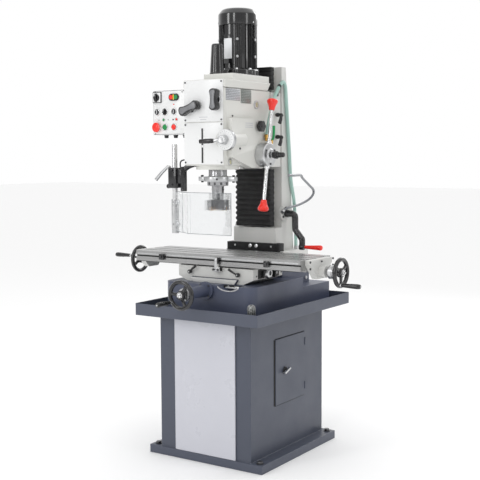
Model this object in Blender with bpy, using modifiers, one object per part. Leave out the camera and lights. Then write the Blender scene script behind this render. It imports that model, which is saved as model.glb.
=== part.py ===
"""Benchtop milling machine on a steel stand: gear head on a dovetail column, cross-slide table.

Metres, +Z up, the machine's front faces -Y, and the origin is the middle of the stand's foot on the
floor. Every piece is one closed body; neighbours keep GAP between their faces.
"""
import math

import bmesh
import bpy
from mathutils import Matrix, Vector

GAP = 0.0003

# stand
FOOT = (0.282, 0.303)
FOOT_THICK = 0.035
CABINET_HALF_WIDTH = 0.225
CABINET_FRONT = -0.295
CABINET_BACK = 0.285
TRAY_HALF_WIDTH = 0.301
TRAY_FRONT = -0.364
TRAY_BACK = 0.395
TRAY_Z = 0.596
TRAY_RIM_Z = 0.646
TRAY_FLOOR = 0.004
SHEET = 0.003
DOOR_Y = (-0.112, 0.123)
DOOR_Z = (0.228, 0.503)
LOCK_Y = -0.041
LOCK_Z = 0.366

# base, saddle and table
BASE_HALF_WIDTH = 0.221
BASE_FRONT = -0.276
BASE_TOP = 0.735
SADDLE_TOP = 0.800
TABLE_HALF_LENGTH = 0.410
TABLE_Y = (-0.223, 0.017)
TABLE_TOP = 0.850
X_AXIS = Vector((0, -0.103, 0.798))
Y_AXIS = Vector((0, -0.446, 0.711))
NOSE_END = -0.396
WHEEL_RADIUS = 0.061
SLOT_PITCH = 0.063

# column and head
COLUMN_HALF_WIDTH = 0.108
COLUMN_FRONT = 0.135
COLUMN_FOOT_Z = 0.800
COLUMN_TOP = 1.630
BELLOWS_LOW = 0.950
CRANK_AXIS = Vector((0.108, 0.150, 1.004))
CRANK_REACH = 0.141
Z_SCREW = Vector((0, 0.150, 0))
HEAD_HALF_WIDTH = 0.098
HEAD_FRONT = -0.285
HEAD_Z = (1.199, 1.557)
TILT_AXIS = Vector((0, 0.045, 1.380))
SPINDLE = Vector((0, -0.190, 0))
MOTOR = Vector((0, -0.037, 0))
MOTOR_TOP = 1.860
FEED_HUB = Vector((0.121, -0.050, 1.257))
LEVER_REACH = 0.222
LEVER_TILT = math.radians(9.5)
FINE_FEED = Vector((0.122, -0.2935, 1.317))
NECK_X = 0.0965
HOUSING_X = 0.1200
COVER_Z = 1.524
BOX_X = (-0.325, -0.150)
BOX_Z = (1.343, 1.529)
BOX_FRONT = -0.200
GUARD_POST = Vector((-0.205, -0.210, 0))
BUTTON_TRAVEL = 0.004

for old in list(bpy.data.objects):
    bpy.data.objects.remove(old)

parts = bpy.data.collections.new("benchtop_milling_machine")
cutters = bpy.data.collections.new("cutters")
for group in (parts, cutters):
    bpy.context.scene.collection.children.link(group)

FINISHES = {
    "stand_paint": ((0.10, 0.11, 0.145), 0.5, 0.0),
    "panel_white": ((0.60, 0.60, 0.64), 0.45, 0.0),
    "head_grey": ((0.62, 0.62, 0.60), 0.45, 0.0),
    "plate_white": ((0.85, 0.85, 0.85), 0.4, 0.0),
    "steel": ((0.55, 0.55, 0.56), 0.3, 1.0),
    "chrome": ((0.8, 0.8, 0.8), 0.12, 1.0),
    "black_iron": ((0.02, 0.02, 0.022), 0.35, 0.2),
    "black_plastic": ((0.018, 0.018, 0.02), 0.45, 0.0),
    "bellows_rubber": ((0.02, 0.02, 0.02), 0.7, 0.0),
    "red_plastic": ((0.75, 0.04, 0.03), 0.35, 0.0),
    "green_plastic": ((0.02, 0.35, 0.12), 0.35, 0.0),
    "hose": ((0.35, 0.60, 0.54), 0.3, 0.0),
    "clear_plastic": ((0.9, 0.95, 0.95), 0.1, 0.0),
    "bronze": ((0.6, 0.4, 0.15), 0.35, 1.0),
}
materials = {}
for finish, (colour, roughness, metallic) in FINISHES.items():
    made = bpy.data.materials.new(finish)
    made.use_nodes = True
    shader = made.node_tree.nodes["Principled BSDF"]
    shader.inputs["Base Color"].default_value = (*colour, 1)
    shader.inputs["Roughness"].default_value = roughness
    shader.inputs["Metallic"].default_value = metallic
    materials[finish] = made

TURN_TO = {
    "X": Matrix.Rotation(math.pi / 2, 4, "Y"),
    "Y": Matrix.Rotation(-math.pi / 2, 4, "X"),
    "Z": Matrix.Identity(4),
}
PLANE_TO = {
    "X": Matrix(((0, 0, 1, 0), (1, 0, 0, 0), (0, 1, 0, 0), (0, 0, 0, 1))),
    "Y": Matrix(((1, 0, 0, 0), (0, 0, -1, 0), (0, 1, 0, 0), (0, 0, 0, 1))),
    "Z": Matrix.Identity(4),
}


def place(name, mesh, origin, finish=None, turn=None):
    """Put a mesh in the scene: in the parts with its finish, or among the cutters."""
    obj = bpy.data.objects.new(name, mesh)
    obj.matrix_world = Matrix.Translation(origin) @ (turn or Matrix.Identity(4))
    if finish:
        mesh.materials.append(materials[finish])
        parts.objects.link(obj)
    else:
        cutters.objects.link(obj)
        obj.hide_render = True
        obj.display_type = "WIRE"
    return obj


def box(name, low, high, finish=None, origin=None, bevel=0.0, segments=1):
    """A box between two corners, with its origin where it is told, or in its middle."""
    low, high = Vector(low), Vector(high)
    middle = (low + high) / 2
    origin = middle if origin is None else Vector(origin)
    bm = bmesh.new()
    size = Matrix.Diagonal((*(high - low), 1))
    bmesh.ops.create_cube(bm, size=1, matrix=Matrix.Translation(middle - origin) @ size)
    mesh = bpy.data.meshes.new(name)
    bm.to_mesh(mesh)
    bm.free()
    obj = place(name, mesh, origin, finish)
    if bevel:
        soften(obj, bevel, segments)
    return obj


def soften(obj, width, segments=1, angle=40):
    """Round the edges sharper than an angle."""
    edge = obj.modifiers.new("soften", "BEVEL")
    edge.width = width
    edge.segments = segments
    edge.limit_method = "ANGLE"
    edge.angle_limit = math.radians(angle)
    return obj


def rod(name, start, end, radius, finish=None, sides=20, tip_radius=None, origin=None):
    """A cylinder or cone between two points."""
    start, end = Vector(start), Vector(end)
    along = end - start
    origin = start if origin is None else Vector(origin)
    turn = along.to_track_quat("Z", "Y").to_matrix().to_4x4()
    bm = bmesh.new()
    bmesh.ops.create_cone(
        bm, cap_ends=True, segments=sides, radius1=radius,
        radius2=radius if tip_radius is None else tip_radius, depth=along.length,
        matrix=Matrix.Translation((start + end) / 2 - origin) @ turn,
    )
    mesh = bpy.data.meshes.new(name)
    bm.to_mesh(mesh)
    bm.free()
    mesh.shade_smooth()
    mesh.set_sharp_from_angle(angle=math.radians(40))
    return place(name, mesh, origin, finish)


def turned(name, profile, origin, axis="Z", finish=None, sides=24, flip=False):
    """A turned shape: (radius, height) pairs from the top down the outside, spun about an axis."""
    mesh = bpy.data.meshes.new(name)
    points = [(radius, 0, height) for radius, height in profile]
    closed = profile[0][0] > 0
    edges = [(i, i + 1) for i in range(len(points) - 1)]
    if closed:
        edges.append((len(points) - 1, 0))
    mesh.from_pydata(points, edges, [])
    turn = TURN_TO[axis]
    if flip:
        turn = turn @ Matrix.Rotation(math.pi, 4, "X")
    obj = place(name, mesh, origin, finish, turn)
    spin = obj.modifiers.new("spin", "SCREW")
    spin.steps = sides
    spin.render_steps = sides
    spin.use_merge_vertices = True
    spin.merge_threshold = 0.00005
    spin.use_normal_calculate = False
    spin.use_smooth_shade = True
    return obj


def plate(name, outline, low, high, axis, finish=None, origin=(0, 0, 0)):
    """A flat outline made thick between two heights along X, Y or Z.

    The outline's two numbers are Y and Z for axis X, X and Z for axis Y, X and Y for axis Z.
    """
    curve = bpy.data.curves.new(name, "CURVE")
    curve.dimensions = "2D"
    curve.fill_mode = "BOTH"
    curve.extrude = (high - low) / 2
    spline = curve.splines.new("POLY")
    spline.points.add(len(outline) - 1)
    for point, (u, v) in zip(spline.points, outline):
        point.co = (u, v, 0, 1)
    spline.use_cyclic_u = True
    guide = bpy.data.objects.new(name + "_outline", curve)
    bpy.context.scene.collection.objects.link(guide)
    middle = (low + high) / 2
    shift = {"X": (middle, 0, 0), "Y": (0, middle, 0), "Z": (0, 0, middle)}[axis]
    mesh = settle(guide, name, Matrix.Translation(shift) @ PLANE_TO[axis])
    mesh.transform(Matrix.Translation(-Vector(origin)))
    return place(name, mesh, origin, finish)


def settle(guide, name, matrix):
    """Turn a curve into a welded mesh and remove the curve."""
    bpy.context.view_layer.update()
    ready = guide.evaluated_get(bpy.context.evaluated_depsgraph_get())
    mesh = bpy.data.meshes.new_from_object(ready)
    bpy.data.objects.remove(guide)
    bm = bmesh.new()
    bm.from_mesh(mesh)
    bmesh.ops.remove_doubles(bm, verts=bm.verts, dist=0.00001)
    bm.transform(matrix)
    bmesh.ops.recalc_face_normals(bm, faces=bm.faces)
    bm.to_mesh(mesh)
    bm.free()
    mesh.name = name
    mesh.materials.clear()
    return mesh


def pipe(name, route, radius, finish=None, resolution=2, origin=(0, 0, 0), cyclic=False):
    """A round bar or hose along a list of points."""
    curve = bpy.data.curves.new(name, "CURVE")
    curve.dimensions = "3D"
    curve.bevel_depth = radius
    curve.bevel_resolution = resolution
    curve.use_fill_caps = True
    spline = curve.splines.new("POLY")
    spline.points.add(len(route) - 1)
    for point, place_at in zip(spline.points, route):
        point.co = (*place_at, 1)
    spline.use_cyclic_u = cyclic
    guide = bpy.data.objects.new(name + "_route", curve)
    bpy.context.scene.collection.objects.link(guide)
    mesh = settle(guide, name, Matrix.Translation(-Vector(origin)))
    mesh.shade_smooth()
    return place(name, mesh, origin, finish)


def smooth_route(knots, spacing):
    """Points at an even spacing on the Catmull-Rom curve through the knots."""
    knots = [Vector(k) for k in knots]
    ends = [2 * knots[0] - knots[1], *knots, 2 * knots[-1] - knots[-2]]
    fine = []
    for i in range(1, len(ends) - 2):
        a, b, c, d = ends[i - 1:i + 3]
        for step in range(24):
            t = step / 24
            fine.append(0.5 * (2 * b + (c - a) * t + (2 * a - 5 * b + 4 * c - d) * t * t
                               + (3 * b - a - 3 * c + d) * t ** 3))
    fine.append(knots[-1])
    out = [fine[0]]
    for point in fine[1:]:
        if (point - out[-1]).length >= spacing:
            out.append(point)
    out[-1] = fine[-1]
    return out


def change(obj, other, operation):
    """Cut one object with another or join it on, and leave the other among the cutters."""
    step = obj.modifiers.new(operation.lower(), "BOOLEAN")
    step.operation = operation
    step.object = other
    step.solver = "EXACT"
    return obj


def cut(obj, *tools):
    for tool in tools:
        change(obj, tool, "DIFFERENCE")
    return obj


def join(obj, *pieces):
    for piece in pieces:
        change(obj, piece, "UNION")
    return obj


# ---------------------------------------------------------------- stand
def stand():
    x, y = FOOT
    shell = box("stand_cabinet", (-x, -y, 0), (x, y, FOOT_THICK), "stand_paint", origin=(0, 0, 0))
    for sx in (-1, 1):
        for sy in (-1, 1):
            hole = Vector((sx * 0.256, sy * 0.275, 0))
            cut(shell, rod("foot_hole", hole - Vector((0, 0, 0.01)), hole + Vector((0, 0, 0.05)), 0.009,
                           sides=16))
    low = FOOT_THICK + GAP
    high = TRAY_Z - GAP
    w = CABINET_HALF_WIDTH
    join(shell, box("cabinet", (-w, CABINET_FRONT, FOOT_THICK - 0.005), (w, CABINET_BACK, high)))
    cut(
        shell,
        box("cabinet_inside", (-w + SHEET, CABINET_FRONT + SHEET, FOOT_THICK - 0.008),
            (w - SHEET, CABINET_BACK - SHEET, high + 0.01)),
        box("door_opening", (w - 0.01, DOOR_Y[0] + 0.012, DOOR_Z[0] + 0.012),
            (w + 0.01, DOOR_Y[1] - 0.012, DOOR_Z[1] - 0.012)),
    )
    box("front_panel", (-0.146, -FOOT[1], low), (0.155, CABINET_FRONT - GAP, high), "panel_white",
        bevel=0.002)
    hinge_at = (w + 0.0042, DOOR_Y[1], sum(DOOR_Z) / 2)
    door = box("cabinet_door", (w + GAP, DOOR_Y[0], DOOR_Z[0]), (w + 0.004, DOOR_Y[1], DOOR_Z[1]),
               "stand_paint", origin=hinge_at, bevel=0.001)
    cut(door, box("lock_hole", (w - 0.01, LOCK_Y - 0.009, LOCK_Z - 0.009), (w + 0.01, LOCK_Y + 0.009, LOCK_Z + 0.009)))
    lock = rod("door_lock", (w + 0.0045, LOCK_Y, LOCK_Z), (w + 0.010, LOCK_Y, LOCK_Z), 0.013, "chrome", sides=16)
    join(lock, box("lock_wing", (w + 0.009, LOCK_Y - 0.024, LOCK_Z - 0.005),
                   (w + 0.022, LOCK_Y + 0.024, LOCK_Z + 0.005)))


def tray():
    body = box("chip_tray", (-TRAY_HALF_WIDTH, TRAY_FRONT, TRAY_Z), (TRAY_HALF_WIDTH, TRAY_BACK, TRAY_RIM_Z),
               "stand_paint")
    cut(body, box("tray_inside", (-TRAY_HALF_WIDTH + SHEET, TRAY_FRONT + SHEET, TRAY_Z + TRAY_FLOOR),
                  (TRAY_HALF_WIDTH - SHEET, TRAY_BACK - SHEET, TRAY_RIM_Z + 0.01)))
    cut(body, rod("drain_hole", (0.24, -0.31, TRAY_Z - 0.01), (0.24, -0.31, TRAY_RIM_Z), 0.0123, sides=16))


# ---------------------------------------------------------------- base, saddle and table
def dovetail(half_top, half_neck, low, high):
    """A male dovetail section, wide at the top."""
    return [(-half_neck, low), (half_neck, low), (half_top, high), (-half_top, high)]


def rounded_front(half_width, front, back, radius, steps=6):
    """A plan outline whose two front corners are quarter circles."""
    outline = [(half_width, back)]
    for side, first in ((1, 0), (-1, 90)):
        middle = side * (half_width - radius)
        for k in range(steps + 1):
            a = math.radians(first + 90 * k / steps)
            outline.append((middle + radius * math.cos(a), front + radius - radius * math.sin(a)))
    return outline + [(-half_width, back)]


def machine_base():
    w = BASE_HALF_WIDTH
    floor = TRAY_Z + TRAY_FLOOR + GAP
    base = plate("machine_base", rounded_front(w, BASE_FRONT, 0.125, 0.045), floor, BASE_TOP, "Z", "stand_paint")
    soften(base, 0.005, 2)
    join(
        base,
        box("base_rear", (-w, 0.120, floor), (w, 0.357, 0.694)),
        box("base_pedestal", (-0.150, 0.070, 0.68), (0.150, 0.300, COLUMN_FOOT_Z - GAP)),
        plate("base_ways", dovetail(0.1172, 0.1024, BASE_TOP - 0.002, 0.7545), BASE_FRONT + 0.05, 0.065, "Y"),
    )
    pocket = [(0.106 + 0.055 * math.cos(math.radians(a)), 0.7395 + 0.025 * math.sin(math.radians(a)))
              for a in range(0, 360, 20)]
    cut(
        base,
        box("screw_channel", (-0.030, -0.205, 0.670), (0.030, 0.060, 0.80)),
        rod("screw_bore", (0, BASE_FRONT - 0.01, Y_AXIS.z), (0, 0, Y_AXIS.z), 0.0125, sides=16),
        plate("front_pocket", pocket, BASE_FRONT - 0.01, BASE_FRONT + 0.045, "Y"),
    )
    bracket = rod("y_screw_bracket", (0, BASE_FRONT - GAP, Y_AXIS.z), (0, BASE_FRONT - 0.014, Y_AXIS.z), 0.037,
                  "stand_paint", sides=28)
    join(bracket, rod("bracket_nose", (0, BASE_FRONT - 0.010, Y_AXIS.z), (0, NOSE_END, Y_AXIS.z), 0.026,
                      tip_radius=0.022))
    cut(bracket, rod("bracket_bore", (0, NOSE_END - 0.01, Y_AXIS.z), (0, BASE_FRONT + 0.01, Y_AXIS.z),
                     0.0095, sides=16))


def saddle():
    low = BASE_TOP + GAP
    outline = [
        (-0.186, SADDLE_TOP), (-0.186, 0.756), (-0.139, low), (-0.1045, low), (-0.1185, 0.7555),
        (0.1185, 0.7555), (0.1045, low), (0.139, low), (0.186, 0.756), (0.186, SADDLE_TOP),
    ]
    body = plate("saddle", outline, -0.214, 0.010, "Y", "steel")
    ways = plate("saddle_ways", [(-0.178, 0.798), (-0.166, 0.8145), (-0.040, 0.8145), (-0.028, 0.798)],
                 -0.186, 0.186, "X")
    join(body, ways)
    cut(body, box("x_nut_channel", (-0.2, -0.121, 0.780), (0.2, -0.085, 0.82)))
    join(
        body,
        box("stop_bracket", (0.003, -0.235, 0.784), (0.038, -0.210, 0.7995)),
        box("stop_finger", (0.012, -0.235, 0.798), (0.028, -0.2255, 0.8405)),
        box("y_nut", (-0.022, -0.110, 0.690), (0.022, -0.060, 0.760)),
        box("x_nut", (-0.030, -0.120, 0.775), (0.030, -0.086, 0.8140)),
    )
    cut(
        body,
        rod("y_nut_bore", (0, -0.12, Y_AXIS.z), (0, -0.05, Y_AXIS.z), 0.0085, sides=16),
        rod("x_nut_bore", (-0.05, X_AXIS.y, X_AXIS.z), (0.05, X_AXIS.y, X_AXIS.z), 0.0085, sides=16),
    )
    lever("saddle_lock_left", Vector((-0.122, -0.2145, 0.775)), Vector((0, -1, 0)), 120)
    lever("saddle_lock_right", Vector((0.118, -0.2145, 0.775)), Vector((0, -1, 0)), 240)


def lever(name, root, out, angle, reach=0.052, stem=0.022, finish="black_plastic", radius=0.0055):
    """A clamping lever: a stem that stands out of a face, and an arm bent off to one side."""
    turn = Matrix.Rotation(math.radians(angle), 3, out)
    up = Vector((0, 0, 1))
    arm = turn @ up
    knee = root + out * stem
    route = [root, root + out * (stem - 0.006), knee + arm * 0.006, knee + arm * reach * 0.55 + out * 0.003,
             knee + arm * reach + out * 0.0045]
    handle = pipe(name, route, radius, finish, origin=root)
    boss = rod(name + "_boss", root + out * 0.0003, root + out * (stem - 0.002), radius * 1.8, sides=12)
    join(handle, boss)
    return handle


def table():
    y0, y1 = TABLE_Y
    mid = X_AXIS.y
    slots = [mid + SLOT_PITCH * k for k in (-1, 0, 1)]
    top = [(y0, TABLE_TOP), (y0, 0.8063)]
    top += [(-0.180, 0.8063), (-0.180, 0.8003), (-0.1785, 0.8003), (-0.1663, 0.8148),
            (-0.0397, 0.8148), (-0.0275, 0.8003), (-0.026, 0.8003), (-0.026, 0.8063)]
    top += [(y1, 0.8063), (y1, TABLE_TOP)]
    body = plate("table", top, -TABLE_HALF_LENGTH, TABLE_HALF_LENGTH, "X", "steel")
    for s in slots:
        for half_width, depth in ((0.007, 0.015), (0.0115, 0.021)):
            low = TABLE_TOP - depth
            high = TABLE_TOP + 0.01 if half_width < 0.01 else TABLE_TOP - 0.012
            cut(body, box("t_slot", (-TABLE_HALF_LENGTH - 0.01, s - half_width, low),
                          (TABLE_HALF_LENGTH + 0.01, s + half_width, high)))
    half = TABLE_HALF_LENGTH
    cut(body, box("stop_groove", (-half - 0.01, y0 - 0.01, 0.8255), (half + 0.01, y0 + 0.006, 0.8315)))
    cut(body, box("screw_relief", (-half - 0.01, -0.121, 0.79), (half + 0.01, -0.085, 0.8215)))
    for name, side in (("table_end_left", -1), ("table_end_right", 1)):
        near = side * (half + GAP)
        far = side * (half + 0.026)
        low_x, high_x = sorted((near, far))
        end = plate(name, [(-0.19, 0.848), (-0.19, 0.83), (-0.135, 0.770), (-0.071, 0.770), (-0.016, 0.83),
                           (-0.016, 0.848)], low_x, high_x, "X", "steel")
        join(end, rod(name + "_boss", (side * (half + 0.02), mid, X_AXIS.z),
                      (side * (half + 0.050), mid, X_AXIS.z), 0.024))
        cut(end, rod(name + "_bore", (side * (half - 0.05), mid, X_AXIS.z),
                     (side * (half + 0.06), mid, X_AXIS.z), 0.0095, sides=16))
    for name, x in (("table_stop_left", -0.266), ("table_stop_right", 0.2586)):
        dog = box(name, (x - 0.013, y0 - 0.012, 0.816), (x + 0.013, y0 - GAP, 0.841), "black_iron", bevel=0.002)
        join(dog, box(name + "_key", (x - 0.010, y0 - 0.002, 0.8262), (x + 0.010, y0 + 0.005, 0.8308)))


# ---------------------------------------------------------------- screws and handwheels
def handwheel(name, centre, out, finish="black_iron", spokes=3, first=90):
    """A dished three-spoke handwheel with its hub on the shaft, facing a direction."""
    centre = Vector(centre)
    out = Vector(out)
    axis = "X" if out.x else "Y"
    side = Vector((0, 1, 0)) if out.x else Vector((1, 0, 0))
    up = Vector((0, 0, 1))
    rim_r = 0.0085
    ring = WHEEL_RADIUS - rim_r
    angles = [2 * math.pi * k / 32 for k in range(32)]
    route = [centre + ring * (math.cos(a) * side + math.sin(a) * up) for a in angles]
    wheel = pipe(name, route, rim_r, finish, resolution=1, origin=centre, cyclic=True)
    hub = rod(name + "_hub", centre - out * 0.012, centre + out * 0.014, 0.018)
    for k in range(spokes):
        a = math.radians(first) + 2 * math.pi * k / spokes
        tip = centre + ring * (math.cos(a) * side + math.sin(a) * up)
        join(wheel, rod(f"{name}_spoke_{k}", centre, tip, 0.0075, sides=10, tip_radius=0.006))
    join(wheel, hub)
    cut(wheel, rod(name + "_eye", centre - out * 0.03, centre + out * 0.03, 0.0083, sides=16))
    return wheel


def wheel_grip(name, centre, out, angle, lean=0.0, finish="black_plastic"):
    """A revolving grip on a handwheel's rim."""
    centre, out = Vector(centre), Vector(out)
    side = Vector((0, 1, 0)) if out.x else Vector((1, 0, 0))
    radial = math.cos(math.radians(angle)) * side + math.sin(math.radians(angle)) * Vector((0, 0, 1))
    at = centre + radial * (WHEEL_RADIUS - 0.0085)
    profile = [(0, 0.100), (0.006, 0.098), (0.0095, 0.088), (0.0085, 0.060), (0.0075, 0.030),
               (0.0065, 0.0090), (0, 0.0090)]
    grip = turned(name, profile, at, "Z", finish, sides=14)
    turn = out.to_track_quat("Z", "Y").to_matrix().to_4x4()
    grip.matrix_world = Matrix.Translation(at) @ turn
    return grip


def screws():
    screw = rod("x_leadscrew", (-0.4935, X_AXIS.y, X_AXIS.z), (0.5285, X_AXIS.y, X_AXIS.z), 0.008, "steel",
                sides=16, origin=(0, X_AXIS.y, X_AXIS.z))
    for side in (-1, 1):
        join(screw, rod("x_collar", (side * (TABLE_HALF_LENGTH + 0.0503), X_AXIS.y, X_AXIS.z),
                        (side * (TABLE_HALF_LENGTH + 0.0635), X_AXIS.y, X_AXIS.z), 0.0125, sides=16))
    for name, side, x in (("handwheel_left", -1, -0.4865), ("handwheel_right", 1, 0.5225)):
        handwheel(name, (x, X_AXIS.y, X_AXIS.z), (side, 0, 0), first=90 if side < 0 else 30)
    wheel_grip("grip_left", (-0.4865, X_AXIS.y, X_AXIS.z), (-1, 0, 0), 160)
    wheel_grip("grip_right", (0.5225, X_AXIS.y, X_AXIS.z), (1, 0, 0), 240)
    join(screw, rod("x_dial", (0.4755, X_AXIS.y, X_AXIS.z), (0.496, X_AXIS.y, X_AXIS.z), 0.0265, sides=28))
    front = Y_AXIS.y
    y_screw = rod("y_leadscrew", (0, front - 0.013, Y_AXIS.z), (0, 0.045, Y_AXIS.z), 0.008, "steel", sides=16,
                  origin=Y_AXIS)
    join(y_screw, rod("y_collar", (0, NOSE_END - GAP, Y_AXIS.z), (0, NOSE_END - 0.0375, Y_AXIS.z), 0.0125,
                      sides=16))
    handwheel("handwheel_front", Y_AXIS, (0, -1, 0), first=90)
    wheel_grip("grip_front", Y_AXIS, (0, -1, 0), 215)
    join(y_screw, rod("y_dial", (0, NOSE_END - 0.0015, Y_AXIS.z), (0, NOSE_END - 0.035, Y_AXIS.z), 0.0265,
                      sides=28))


# ---------------------------------------------------------------- column
def column():
    w = COLUMN_HALF_WIDTH
    top_back, low_back = 0.170, 0.236
    shaft = plate(
        "column",
        [(COLUMN_FRONT, COLUMN_FOOT_Z + 0.02), (low_back, COLUMN_FOOT_Z + 0.02), (top_back, COLUMN_TOP),
         (COLUMN_FRONT, COLUMN_TOP)], -w, w, "X", "head_grey")
    join(shaft, box("column_foot", (-0.147, 0.0805, COLUMN_FOOT_Z), (0.147, 0.295, COLUMN_FOOT_Z + 0.045)))
    join(shaft, plate("column_ways", [(-0.074, 0.112), (0.074, 0.112), (0.060, 0.137), (-0.060, 0.137)],
                      COLUMN_FOOT_Z + 0.10, COLUMN_TOP, "Z"))
    join(shaft, box("column_front_block", (-w, 0.085, COLUMN_FOOT_Z + 0.04), (w, 0.136, BELLOWS_LOW - 0.005)))
    cut(shaft, box("column_bore", (-0.040, 0.095, COLUMN_FOOT_Z + 0.12), (0.040, 0.164, COLUMN_TOP + 0.01)))
    cut(shaft, box("gear_room", (-0.040, 0.095, 0.955), (0.040, 0.185, 1.045)))
    cut(shaft, rod("crank_bore", (0.03, CRANK_AXIS.y, CRANK_AXIS.z), (0.2, CRANK_AXIS.y, CRANK_AXIS.z),
                   0.0125, sides=16))
    join(shaft, box("column_apron", (-0.131, 0.0700, 0.840), (0.131, 0.1130, 0.878)))
    join(shaft, turned("crank_flange", [(0.030, 0.011), (0.034, 0.008), (0.034, -0.004), (0.0125, -0.004),
                                       (0.0125, 0.011)], CRANK_AXIS, "X", sides=24))


def column_drive():
    axis = CRANK_AXIS
    screw = rod("z_leadscrew", (0, Z_SCREW.y, 0.935), (0, Z_SCREW.y, 1.560), 0.0085, "steel", sides=16,
                origin=(0, Z_SCREW.y, axis.z))
    gear_low = axis.z - 0.036
    join(screw, rod("screw_gear", (0, Z_SCREW.y, gear_low), (0, Z_SCREW.y, gear_low + 0.014), 0.022,
                    sides=20, tip_radius=0.010))
    knee = axis + Vector((0.059, 0, 0))
    arm = pipe(
        "crank_arm",
        smooth_route([knee + Vector((-0.044, 0, 0)), knee + Vector((-0.015, 0, 0)),
                      knee + Vector((-0.002, 0, -0.006)), knee + Vector((0, 0, -0.040)),
                      knee + Vector((0.010, 0, -0.072)), knee + Vector((0.028, 0, -0.098)),
                      knee + Vector((0.034, 0, -0.120)), knee + Vector((0.034, 0, -CRANK_REACH))], 0.010),
        0.0138, "black_iron", resolution=1, origin=axis)
    gear = rod("shaft_gear", (0.036, axis.y, axis.z), (0.023, axis.y, axis.z), 0.0205, sides=20,
               tip_radius=0.010)
    join(arm, rod("crank_shaft", (0.030, axis.y, axis.z), axis + Vector((0.020, 0, 0)), 0.010, sides=16), gear)


def crank_grip():
    at = CRANK_AXIS + Vector((0.093, 0, -CRANK_REACH))
    profile = [(0, 0.098), (0.012, 0.096), (0.0135, 0.088), (0.0120, 0.060), (0.0085, 0.0165), (0.0085, 0.0145),
               (0, 0.0145)]
    turned("crank_grip", profile, at, "X", "red_plastic", sides=16)


def bellows(name, half_width, y_front, y_back, low, high, pleats, bulge):
    """A pleated cover: a stack of pleats in one closed outline, drawn from the side."""
    pitch = (high - low) / pleats
    outline = [(y_back, low), (y_front, low)]
    for k in range(pleats):
        z = low + k * pitch
        swell = bulge * math.sin(math.pi * min(1, (k + 0.5) / pleats * 1.6))
        outline += [(y_front - swell, z + pitch * 0.25), (y_front - swell, z + pitch * 0.6),
                    (y_front + 0.006 - swell, z + pitch * 0.9)]
    outline += [(y_front, high), (y_back, high)]
    return plate(name, outline, -half_width, half_width, "X", "bellows_rubber")


def covers():
    lower = bellows("bellows_lower", 0.089, 0.074, 0.106, BELLOWS_LOW, 1.196, 10, 0.006)
    cut(lower, box("bellows_inside", (-0.082, 0.092, 0.94), (0.082, 0.2, 1.2)))
    upper = bellows("bellows_upper", 0.084, 0.080, 0.106, 1.532, 1.628, 4, 0.004)
    cut(upper, box("bellows_inside_top", (-0.076, 0.092, 1.50), (0.076, 0.2, 1.66)))


# ---------------------------------------------------------------- carriage and head
def carriage():
    low, high = 1.205, 1.520
    body = box("carriage", (-0.105, 0.060, low), (0.105, 0.1338, high), "head_grey", bevel=0.003)
    cut(body, plate("carriage_ways", [(-0.0745, 0.1115), (0.0745, 0.1115), (0.0600, 0.1345 + 0.005),
                                      (-0.0600, 0.1345 + 0.005)], low - 0.01, high + 0.01, "Z"))
    join(body, box("z_nut", (-0.020, 0.100, 1.330), (0.020, 0.161, 1.370)))
    cut(body, rod("z_nut_bore", (0, Z_SCREW.y, 1.3), (0, Z_SCREW.y, 1.4), 0.0088, sides=16))
    for name, z in (("column_lock_upper", 1.426), ("column_lock_lower", 1.333)):
        lever(name, Vector((0.1055, 0.092, z)), Vector((1, 0, 0)), 146, reach=0.042, stem=0.030, radius=0.0062)


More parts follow.
